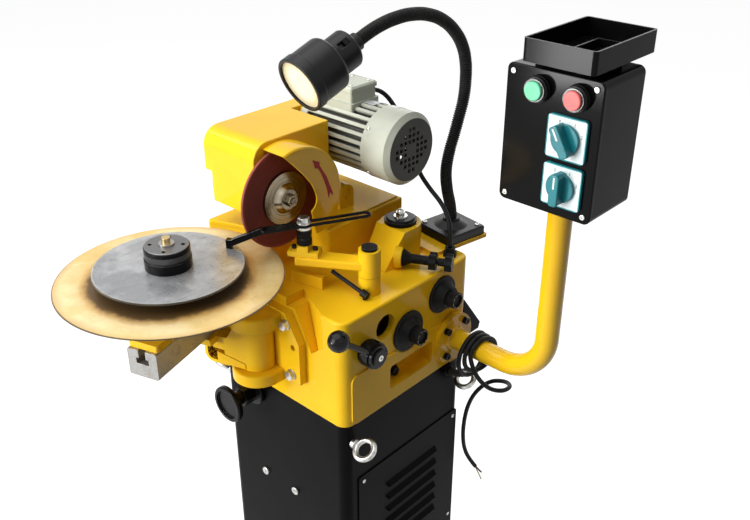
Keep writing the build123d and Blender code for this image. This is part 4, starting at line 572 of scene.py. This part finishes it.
paint(yellowEnamel("yellowCasting", 0.0005, 0.12),
      "main_body", "head_base", "carrier_bracket", "link_arm", "head_frame")
paint(yellowEnamel("yellowSheet", 0.0002, 0.40), "belt_cover", "wheel_guard", "control_arm", "slide_block")
paint(yellowEnamel("yellowRoughCasting", 0.0005, 0.12, castPocket), "swivel_arm")
paint(pawlEnamel("teeBlock"), "pawl_block")
paint(blackEnamel("blackCabinet", cabinetLook, 0.34, 0.00006, 0.04), "cabinet", "cabinet_covers")
paint(blackEnamel("blackBox", boxLook, 0.12, 0.00003, 0.02), "control_box", "control_lid")
paint(blackEnamel("blackTray", trayLook, 0.30, 0.00004, 0.03), "parts_tray")
paint(blackEnamel("blackLamp", lampLook, 0.36, 0.00010, 0.05), "lamp_base", "lamp_head")
paint(greyEnamel("motorGrey", fins=finGapShade), "motor_body")
paint(greyEnamel("gearmotorGrey"), "feed_gearmotor")
paint(greyEnamel("cowlGrey", cowlDiscShade), "motor_cowl")
zinc = brightZinc("zincPlate")
paint(zinc, "zinc_fasteners", "eyebolts")
paint(turnedMetal("turnedSteel", (0.36, 0.315, 0.235), (0.085, 0.062, 0.036), wheelAxis, "x", 0.13),
      "wheel_flanges", "spindle")
paint(turnedMetal("plainSteel", (0.40, 0.39, 0.38), (0.22, 0.21, 0.20), motorAxis, "x", 0.28),
      "spindle_bearings", "camshaft", "lift_rod")
paint(turnedMetal("castPulley", (0.30, 0.30, 0.295), (0.16, 0.155, 0.15), wheelAxis, "x", 0.35),
      "spindle_pulley", "motor_pulley")
paint(turnedMetal("studSteel", (0.40, 0.39, 0.37), (0.22, 0.21, 0.19), bladeCentre, "z", 0.24, tip=studTip), "arbour")
paint(blackOxide("hubOxide", knurl=hubKnurl), "hub_nut")
oxide = blackOxide("blackOxide")
paint(oxide, "black_hardware", "link_shaft", "motor_rotor")
paint(blackOxide("rubbedOxide", 0.26, 1.0), "pawl")
paint(blackOxide("blackKnob", 0.28, 0.30), "hand_knob")
paint(ballLacquer("ballLacquer"), "ball_lever")
paint(blackOxide("capOxide", 0.30, 0.30, plated={"axis": 2, "level": 0.9851}), "stroke_cap")
paint(groundIron("groundIron"), "slide_bar")
paint(goldBlade("goldBlade", bladeCentre), "saw_blade")
paint(scuffedSteel("scuffedSteel", bladeCentre), "index_plate")
paint(abrasiveGrit("abrasiveGrit", wheelAxis), "grinding_wheel")
paint(rubber("beltRubber"), "drive_belt")
moulded = mouldedPlastic("blackPlastic", darkPlastic["colour"], darkPlastic["shade"], 0.38, gloss=0.08)
paint(moulded, "lock_knob", "stroke_screw", "cable_glands", "lamp_switch")
paint(dialPlastic("lowDialPlastic", lowDial, lowDial[0]), "lower_dial_knob")
paint(dialPlastic("highDialPlastic", highDial, highDial[0]), "upper_dial_knob")
paint(bezelPlastic("bezelPlastic", 0.0279), "button_housings")
paint(handlePlastic("upperHandle", 1.225, 30.0), "upper_switch_knob")
paint(handlePlastic("lowerHandle", 1.156, 0.0), "lower_switch_knob")
paint(switchPlastic("switchPlastic"), "switch_plates")
paint(mouldedPlastic("greenPlastic", (0.14, 0.66, 0.34), (0.10, 0.54, 0.27), 0.28), "green_button")
paint(mouldedPlastic("redPlastic", (0.80, 0.13, 0.115), (0.66, 0.09, 0.08), 0.28), "red_button")
paint(lampGlass("lampGlass", lensCentre), "lamp_lens")
print("finishes given to the nodes")


# Building small pieces

def solidOf(name, mesh, finish, body=None, sharp=35):  # closes a bmesh into a piece with smooth faces
    bmesh.ops.recalc_face_normals(mesh, faces=mesh.faces)
    data = bpy.data.meshes.new(name)
    mesh.to_mesh(data)
    mesh.free()
    data.polygons.foreach_set("use_smooth", [True] * len(data.polygons))
    data.set_sharp_from_angle(angle=radians(sharp))
    data.materials.append(finish)
    made = bpy.data.objects.new(name, data)
    bpy.context.scene.collection.objects.link(made)
    if body:
        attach(made, body)
    return made


def skin(mesh, rings):  # faces from ring to ring; a ring of one point closes an end
    for a, b in zip(rings, rings[1:]):
        most = max(len(a), len(b))
        for k in range(most):
            n = (k + 1) % most
            corners = (a[k % len(a)], a[n % len(a)], b[n % len(b)], b[k % len(b)])
            mesh.faces.new(dict.fromkeys(corners))


def turned(name, foot, ahead, parts, finish, body, ridge=0.0):  # parts: sides, then (height, radius) points
    mesh = bmesh.new()
    frameOf = Vector(ahead).to_track_quat("Z", "Y").to_matrix()
    for sides, outline in parts:
        most = max(r for height, r in outline)
        rings = []
        for height, r in outline:
            ring = []
            for k in range(sides if r else 1):
                cut = ridge * (k % 2) * (r > most * 0.9)
                turn = 2 * pi * k / sides
                spot = Vector(((r - cut) * cos(turn), (r - cut) * sin(turn), height))
                ring.append(mesh.verts.new(Vector(foot) + frameOf @ spot))
            rings.append(ring)
        skin(mesh, rings if not outline[0][1] else rings + rings[:1])
    return solidOf(name, mesh, finish, body)


def swept(name, points, steps, finish, body, sides=24):  # rings of the given radii along a line
    runs = [0.0]
    for a, b in zip(points, points[1:]):
        runs.append(runs[-1] + (b - a).length)
    mesh = bmesh.new()
    ahead = (points[1] - points[0]).normalized()
    across = ahead.orthogonal().normalized()
    at, rings = 0, []
    for run, r in steps:
        while at < len(runs) - 2 and runs[at + 1] < run:
            at += 1
        now = (points[at + 1] - points[at]).normalized()
        across = ahead.rotation_difference(now) @ across
        ahead, upward = now, now.cross(across)
        centre = points[at] + ahead * (run - runs[at])
        turns = [2 * pi * k / sides for k in range(sides)]
        rings.append([mesh.verts.new(centre + (across * cos(t) + upward * sin(t)) * r) for t in turns])
    skin(mesh, rings)
    for end in (rings[0], rings[-1]):
        mesh.faces.new(end)
    return solidOf(name, mesh, finish, body, 60)


def sheet(name, grid, thick, finish, body):  # a thin curved plate over a grid of (point, outward) pairs
    mesh = bmesh.new()
    layers = []
    for lift in (0.0, thick):
        layers.append([[mesh.verts.new(Vector(p) + Vector(out) * lift) for p, out in row] for row in grid])
    rows, columns = len(grid), len(grid[0])
    for layer in layers:
        for i in range(rows - 1):
            for j in range(columns - 1):
                mesh.faces.new((layer[i][j], layer[i][j + 1], layer[i + 1][j + 1], layer[i + 1][j]))
    rim = [(0, j) for j in range(columns)] + [(i, columns - 1) for i in range(1, rows)]
    rim += [(rows - 1, j) for j in range(columns - 2, -1, -1)] + [(i, 0) for i in range(rows - 2, 0, -1)]
    for (i, j), (m, n) in zip(rim, rim[1:] + rim[:1]):
        mesh.faces.new((layers[0][i][j], layers[0][m][n], layers[1][m][n], layers[1][i][j]))
    return solidOf(name, mesh, finish, body, 50)


# Bolts, collars and screws

def panHead(r, h):  # a low domed head with a driver's recess
    dome = ((0, 0), (0, r), (h * 0.4, r), (h * 0.8, r * 0.82), (h, r * 0.5))
    return 24, (*dome, (h, r * 0.30), (h * 0.55, r * 0.22), (h * 0.5, 0))


def hexHead(low, flats, h):
    r = flats / 3 ** 0.5
    return 6, ((low, 0), (low, r), (low + h * 0.85, r), (low + h, r * 0.88), (low + h, 0))


def disc(low, r, h):
    cut, top = 0.0003, low + h
    return 40, ((low, 0), (low, r - cut), (low + cut, r), (top - cut, r), (top, r - cut), (top, 0))


def ring(inner, outer, low, high):
    cut = 0.0004
    rim = ((low, outer - cut), (low + cut, outer), (high - cut, outer), (high, outer - cut))
    return 48, ((low, inner), *rim, (high, inner))


pawlFittings = {
    "collar": 0.0124, "waist": 0.0117, "foot": 0.9942, "height": 0.0272,
    "boltFoot": 1.0303, "washer": 0.0118, "flats": 0.0172,
}


def pawlPostFittings():
    p = pawlFittings
    h, r, waist = p["height"], p["collar"], p["waist"]
    cut = 0.0006
    groove = ((h * 0.40, r), (h * 0.43, waist), (h * 0.62, waist), (h * 0.65, r))
    outline = ((0, 0), (0, r - cut), (cut, r), *groove, (h - cut, r), (h, r - cut), (h, 0))
    turned("pawlCollar", (*pawlPost, p["foot"]), (0, 0, 1), [(40, outline)], oxide, "link")
    parts = [disc(0, p["washer"], 0.0018), hexHead(0.0018, p["flats"], 0.0085)]
    turned("pawlBolt", (*pawlPost, p["boltFoot"]), (0, 0, 1), parts, zinc, "link")


motorFittings = {
    "lid": 1.2025, "lidX": (-0.0665, -0.0305), "lidY": (0.0595, 0.1005), "screw": 0.0031,
    "cowlX": 0.0345, "cowlR": 0.0609, "cowlAt": (38, 142, 218, 322),
}


def motorScrews():
    m = motorFittings
    for i, x in enumerate(m["lidX"]):
        for j, y in enumerate(m["lidY"]):
            turned(f"lidScrew{i}{j}", (x, y, m["lid"]), (0, 0, 1), [panHead(m["screw"], 0.0018)], zinc, "head")
    for i, degrees in enumerate(m["cowlAt"]):
        out = Vector((0, cos(radians(degrees)), sin(radians(degrees))))
        foot = Vector((m["cowlX"], motorAxis[1], motorAxis[2])) + out * m["cowlR"]
        turned(f"cowlScrew{i}", foot, out, [disc(0, 0.0042, 0.0006), panHead(0.0034, 0.0026)], zinc, "head")


controlFittings = {
    "leverEnd": (0.1905, -0.108, 0.851), "recessBolt": (0.1331, -0.017, 0.756), "recessFlats": 0.015,
    "buttonX": (0.342, 0.402), "buttonZ": 1.283, "lidFace": 0.0379, "nutR": (0.0173, 0.0188), "nutH": 0.0052,
    "bead": (0.1698, 0.108, 0.776), "beadR": (0.0188, 0.0238),
}


def controlDetails():
    c = controlFittings
    socket = (6, ((0.0004, 0), (0.0004, 0.0024), (0.0016, 0.0024), (0.0016, 0.0018), (0.0007, 0.0018), (0.0007, 0)))
    turned("leverScrew", c["leverEnd"], (1, 0, 0), [disc(-0.0005, 0.0052, 0.0012), socket], zinc, "lever")
    parts = [disc(0, 0.0115, 0.0018), hexHead(0.0018, c["recessFlats"], 0.0085)]
    turned("recessBolt", c["recessBolt"], (1, 0, 0), parts, oxide, "frame")
    for i, x in enumerate(c["buttonX"]):
        foot = (x, c["lidFace"], c["buttonZ"])
        nut = ring(*c["nutR"], 0, c["nutH"])
        turned(f"buttonNut{i}", foot, (0, -1, 0), [nut], moulded, "frame", ridge=0.0007)
    inner, outer = c["beadR"]
    bead = (60, ((0, inner), (0, outer), (0.0022, outer - 0.0006), (0.0042, inner + 0.0020), (0.0052, inner)))
    armPaint = nodes["control_arm"].material_slots[0].material
    turned("armWeld", c["bead"], (1, 0, 0), [bead], armPaint, "frame", ridge=0.0004)


pawlPostFittings()
motorScrews()
controlDetails()
print("bolts and screws set")


# Painted arrow, blank plates and switch marks

arrow = {
    "x": 0.00802, "thick": 0.0002, "from": (-0.0300, 1.0440), "bend": (-0.0405, 1.0920), "to": (-0.0690, 1.1200),
    "half": (0.0052, 0.0036, 0.0024), "headAt": 0.80, "headHalf": 0.0068, "tailCut": 0.10, "steps": 16,
}


def paintedArrow():
    a, b, c = (Vector((y, z)) for y, z in (arrow["from"], arrow["bend"], arrow["to"]))

    def place(t):
        return a * (1 - t) ** 2 + b * 2 * t * (1 - t) + c * t ** 2

    def side(t):
        run = (b - a) * (1 - t) + (c - b) * t
        return Vector((-run.y, run.x)).normalized()

    grid = []
    for i in range(arrow["steps"] + 1):
        t = i / arrow["steps"]
        if t < arrow["headAt"]:
            low, mid, high = arrow["half"]
            half = low + (mid - low) * t / 0.4 if t < 0.4 else mid + (high - mid) * (t - 0.4) / 0.4
        else:
            half = arrow["headHalf"] * (1 - (t - arrow["headAt"]) / (1 - arrow["headAt"])) + 0.0002
        half *= 1 + 0.10 * sin(19 * t)  # an unsteady brush
        cut = arrow["tailCut"] * (1 - t) ** 6  # the tail is notched
        row = []
        for k in (-1.0, -0.5, 0.0, 0.5, 1.0):
            spot = place(t + cut * (1 - abs(k))) + side(t) * half * k
            row.append(((arrow["x"], spot.x, spot.y), (1, 0, 0)))
        grid.append(row)
    sheet("guardArrow", grid, arrow["thick"], brushedRed("brushedRed"), "head")


blankPlates = {
    "cowlLabel": {
        "x": (0.0340, 0.0470), "degrees": (94, 122), "r": 0.0611, "thick": 0.0003,
        "colour": (0.74, 0.75, 0.73), "rough": 0.40,
    },
    "motorPlate": {
        "x": (-0.0165, 0.0075), "degrees": (84, 120), "r": 0.0591, "thick": 0.0006,
        "colour": (0.52, 0.53, 0.53), "rough": 0.30,
    },
}


def motorPlates():
    for name, p in blankPlates.items():
        grid = []
        for i in range(13):
            angle = radians(p["degrees"][0] + (p["degrees"][1] - p["degrees"][0]) * i / 12)
            out = Vector((0, -cos(angle), sin(angle)))
            row = []
            for j in range(5):
                x = p["x"][0] + (p["x"][1] - p["x"][0]) * j / 4
                row.append((Vector((x, motorAxis[1], motorAxis[2])) + out * p["r"], out))
            grid.append(row)
        shade = tuple(c * 0.82 for c in p["colour"])
        sheet(name, grid, p["thick"], mouldedPlastic(name, p["colour"], shade, p["rough"]), "head")


switchMarks = {
    "x": 0.392, "y": 0.03295, "z": (1.225, 1.156), "size": 0.0072, "reach": 0.0245,
    "numbers": (("0", 118), ("1", 62), ("2", 18)),
}


def switchNumbers():
    ink = mouldedPlastic("dialInk", (0.03, 0.06, 0.065), (0.05, 0.08, 0.085), 0.5)
    for row, z in enumerate(switchMarks["z"]):
        for number, degrees in switchMarks["numbers"]:
            text = bpy.data.curves.new("number", "FONT")
            text.body = number
            text.size = switchMarks["size"]
            text.align_x, text.align_y = "CENTER", "CENTER"
            text.extrude = 0.00008
            stamp = bpy.data.objects.new("number", text)
            bpy.context.scene.collection.objects.link(stamp)
            mark = bpy.data.objects.new(f"switchNumber{row}{number}", meshOf(stamp))
            bpy.data.objects.remove(stamp)
            mark.data.materials.clear()
            mark.data.materials.append(ink)
            mark.rotation_euler = (pi / 2, 0, 0)
            reach, angle = switchMarks["reach"], radians(degrees)
            mark.location = (switchMarks["x"] + reach * cos(angle), switchMarks["y"], z + reach * sin(angle))
            bpy.context.scene.collection.objects.link(mark)
            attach(mark, "frame")


def meshOf(piece, bare=False):  # the mesh of a curve, or with bare its middle line alone
    if bare:
        thick, piece.data.bevel_depth = piece.data.bevel_depth, 0.0
    bpy.context.view_layer.update()
    mesh = bpy.data.meshes.new_from_object(piece.evaluated_get(bpy.context.evaluated_depsgraph_get()))
    if bare:
        piece.data.bevel_depth = thick
    return mesh


paintedArrow()
motorPlates()
switchNumbers()
print("arrow, plates and numbers put on")


# Cables

def route(name, points, thick, finish):  # one smooth line through a cable's route
    line = bpy.data.curves.new(name, "CURVE")
    line.dimensions = "3D"
    spline = line.splines.new("NURBS")
    spline.points.add(len(points) - 1)
    for point, place in zip(spline.points, points):
        point.co = (*place, 1.0)
    spline.order_u = 3
    spline.use_endpoint_u = True
    line.resolution_u = 10
    line.bevel_depth = thick / 2
    line.bevel_resolution = 5
    line.use_fill_caps = True
    line.materials.append(finish)
    made = bpy.data.objects.new(name, line)
    bpy.context.scene.collection.objects.link(made)
    return made


sheath = cableSheath("cableSheath")
motorLead = {
    "thick": 0.008, "length": 0.336,
    "points": (
        (-0.045, 0.111, 1.180), (-0.043, 0.130, 1.178), (-0.035, 0.148, 1.167), (-0.020, 0.157, 1.145),
        (0.000, 0.158, 1.114), (0.020, 0.155, 1.080), (0.042, 0.151, 1.042), (0.070, 0.149, 1.019),
        (0.098, 0.147, 1.002), (0.118, 0.142, 0.982), (0.129, 0.135, 0.960), (0.133, 0.131, 0.936),
    ),
}


def motorCable():
    line = route("motorCableLine", motorLead["points"], motorLead["thick"], sheath)
    middle = [v.co.copy() for v in meshOf(line, True).vertices]
    tube = bpy.data.objects.new("motorCable", meshOf(line))
    bpy.context.scene.collection.objects.link(tube)
    bpy.data.objects.remove(line)
    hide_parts("motor_cable")
    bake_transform(tube)


mainsLead = {
    "thick": 0.008, "length": 1.115, "arm": (0.108, 0.776), "turns": 2.5, "radius": (0.044, 0.028), "x": (0.207, 0.234),
    "tilt": 0.009, "rest": 0.025, "steps": 16, "boot": (0.0065, 0.030), "bootR": (0.0086, 0.0048), "bootRibs": 7,
    "bootShape": ((0.0, 0.0), (0.55, 0.0), (0.62, 0.0011), (0.92, 0.0011)),
    "rise": (
        (0.154, 0.108, 0.702), (0.174, 0.108, 0.702), (0.192, 0.116, 0.701), (0.203, 0.134, 0.709),
        (0.205, 0.147, 0.731),
    ),
    "tail": (
        (0.236, 0.079, 0.750), (0.245, 0.088, 0.728), (0.258, 0.101, 0.711), (0.271, 0.120, 0.704),
        (0.271, 0.143, 0.700), (0.255, 0.160, 0.693), (0.232, 0.168, 0.682), (0.209, 0.170, 0.668),
        (0.190, 0.168, 0.646), (0.176, 0.165, 0.621), (0.167, 0.162, 0.591), (0.163, 0.160, 0.558),
        (0.162, 0.160, 0.524), (0.164, 0.163, 0.492), (0.171, 0.171, 0.463), (0.181, 0.182, 0.441),
    ),
    "cores": {"brownCore": (0.16, 0.045, 0.022), "blueCore": (0.03, 0.07, 0.22), "earthCore": (0.46, 0.42, 0.03)},
}


def mainsWinding():
    count = int(mainsLead["turns"] * mainsLead["steps"])
    for i in range(count + 1):
        share = i / count
        turn = 2 * pi * i / mainsLead["steps"]
        r = mainsLead["radius"][0] * (1 - share) + mainsLead["radius"][1] * share
        x = mainsLead["x"][0] * (1 - share) + mainsLead["x"][1] * share + mainsLead["tilt"] * share * cos(turn)
        yield x, mainsLead["arm"][0] + r * cos(turn), mainsLead["arm"][1] + mainsLead["rest"] - r + r * sin(turn)


def mainsCable():
    cable = route("mainsCable", [*mainsLead["rise"], *mainsWinding(), *mainsLead["tail"]], mainsLead["thick"], sheath)
    middle = [v.co.copy() for v in meshOf(cable, True).vertices]
    end = Vector(mainsLead["tail"][-1])
    ahead = (end - Vector(mainsLead["tail"][-2])).normalized()
    extras = []
    for i, (name, colour) in enumerate(mainsLead["cores"].items()):
        away = Vector((cos(2.1 * i + 0.6), sin(2.1 * i + 0.6), 0.0)) * 0.0016
        tip = end + ahead * (0.020 + 0.007 * i) + away * (2.0 + 2.2 * i)
        points = [end - ahead * 0.002 + away * 0.8, end + ahead * 0.008 + away, tip]
        extras.append(route(name, points, 0.0022, mouldedPlastic(name, colour, colour, 0.35)))
        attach(extras[-1], "frame")
    low, long = mainsLead["boot"]
    wide, slim = mainsLead["bootR"]
    ribs, steps = mainsLead["bootRibs"], []
    for i in range(ribs):  # a ribbed, tapered boot
        r = wide - (wide - slim) * i / (ribs - 1)
        steps += [(low + long * (i + at) / ribs, r - dip) for at, dip in mainsLead["bootShape"]]
    extras.append(swept("mainsBoot", middle, steps, rubber("bootRubber"), "frame"))
    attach(cable, "frame")
    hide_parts("mains_cable")


motorCable()
mainsCable()
print("cables laid")


# Gooseneck: a ribbed sleeve on the same line as its solid

goose = {
    "foot": (0.083, 0.196), "heading": 84.0, "ribs": 150, "outer": 0.0104, "root": 0.0086,
    "line": (
        (0.0, 0.954), (-0.004, 0.977), (-0.014, 1.013), (-0.018, 1.048), (-0.012, 1.081), (-0.002, 1.109),
        (0.008, 1.139), (0.017, 1.169), (0.020, 1.200), (0.018, 1.231), (0.008, 1.261), (-0.011, 1.287),
        (-0.037, 1.308), (-0.068, 1.322), (-0.105, 1.329), (-0.140, 1.3285), (-0.172, 1.323), (-0.196, 1.3155),
        (-0.2165, 1.307),
    ),
}


def gooseMiddle():  # points of the bent line, close together
    heading = Vector((cos(radians(goose["heading"])), sin(radians(goose["heading"])), 0))
    line = bpy.data.curves.new("gooseLine", "CURVE")
    line.dimensions = "3D"
    line.resolution_u = 24
    spline = line.splines.new("BEZIER")
    spline.bezier_points.add(len(goose["line"]) - 1)
    for point, (a, z) in zip(spline.bezier_points, goose["line"]):
        point.co = Vector((*goose["foot"], z)) + heading * a
        point.handle_left_type = point.handle_right_type = "AUTO"
    made = bpy.data.objects.new("gooseLine", line)
    bpy.context.scene.collection.objects.link(made)
    points = [v.co.copy() for v in meshOf(made, True).vertices]
    bpy.data.objects.remove(made)
    return points


def gooseneck():
    points = gooseMiddle()
    whole = sum((b - a).length for a, b in zip(points, points[1:]))
    shape = ((0.00, 0.0), (0.14, 0.75), (0.30, 1.0), (0.52, 1.0), (0.68, 0.75), (0.82, 0.0))
    low, high = goose["root"], goose["outer"]
    steps = []
    for rib in range(goose["ribs"]):
        steps += [(whole * (rib + at) / goose["ribs"], low + (high - low) * swell) for at, swell in shape]
    sleeve = mouldedPlastic("gooseSleeve", (0.009, 0.009, 0.009), (0.022, 0.021, 0.020), 0.42, gloss=0.12)
    piece = swept("gooseneckSleeve", points, steps, sleeve, "frame")
    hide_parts("gooseneck")


gooseneck()
print("gooseneck ribbed")


# Floor, light and camera

studio = {
    "floor": (0.32, 0.32, 0.32), "lift": 0.92, "ambient": 0.06,
    "lamps": (  # name, place, what it faces, size, watts
        ("keySoftbox", (-1.1, -3.1, 2.0), (0.0, -0.1, 1.0), (2.4, 2.0), 118.0),
        ("overheadSoftbox", (-0.5, -0.8, 3.4), (0.0, -0.1, 1.0), (3.2, 3.2), 82.0),
        ("lowPanel", (-0.70, -1.98, 0.80), (0.36, 0.04, 1.28), (0.34, 0.40), 17.0),
        ("rightFill", (2.4, -0.9, 2.6), (0.0, 0.0, 1.0), (1.4, 1.4), 3.0),
        ("backFill", (-1.5, 3.2, 2.2), (0.0, 0.0, 0.9), (2.0, 2.0), 24.0),
    ),
}
lens = {"place": (0.9696, -0.9663, 1.652), "turn": 42.7, "tilt": 28.4, "focal": 43.2}


def floorFinish():
    f = Finish("paleFloor", {"Base Color": studio["floor"], "Roughness": 0.9, "Specular IOR Level": 0.1})
    lift = f.ramp(f.seen(), 0.0, 1.0, 0.0, studio["lift"])
    return f.look(Emission_Color=f.mix(lift, (0, 0, 0), (1, 1, 1)), Emission_Strength=1.0)


def floor():
    mesh = bmesh.new()
    bmesh.ops.create_circle(mesh, cap_ends=True, segments=96, radius=14.0)
    plane = solidOf("floor", mesh, floorFinish())
    plane.location.z = -0.0005


def lights():
    world = bpy.data.worlds.new("studioWorld")
    bpy.context.scene.world = world
    world.use_nodes = True
    sky = Graph(world.node_tree)
    level = sky.ramp(sky.seen(), 0.0, 1.0, studio["ambient"], 1.0)
    sky.feed(world.node_tree.nodes["Background"], {"Color": (1, 1, 1), "Strength": level})
    for name, place, target, (wide, high), watts in studio["lamps"]:
        data = bpy.data.lights.new(name, "AREA")
        data.shape = "RECTANGLE"
        data.size, data.size_y = wide, high
        data.energy = watts
        lamp = bpy.data.objects.new(name, data)
        lamp.location = place
        lamp.rotation_euler = (Vector(target) - Vector(place)).to_track_quat("-Z", "Y").to_euler()
        bpy.context.scene.collection.objects.link(lamp)


def camera():
    data = bpy.data.cameras.new("photoCamera")
    data.sensor_width = 36.0
    data.lens = lens["focal"]
    data.clip_start, data.clip_end = 0.05, 60.0
    made = bpy.data.objects.new("photoCamera", data)
    made.location = lens["place"]
    turn, tilt = radians(lens["turn"]), radians(lens["tilt"])
    ahead = Vector((-sin(turn) * cos(tilt), cos(turn) * cos(tilt), -sin(tilt)))
    made.rotation_euler = ahead.to_track_quat("-Z", "Y").to_euler()
    bpy.context.scene.collection.objects.link(made)
    bpy.context.scene.camera = made


floor()
lights()
camera()
bpy.context.scene.view_settings.view_transform = "Standard"
print("studio set")
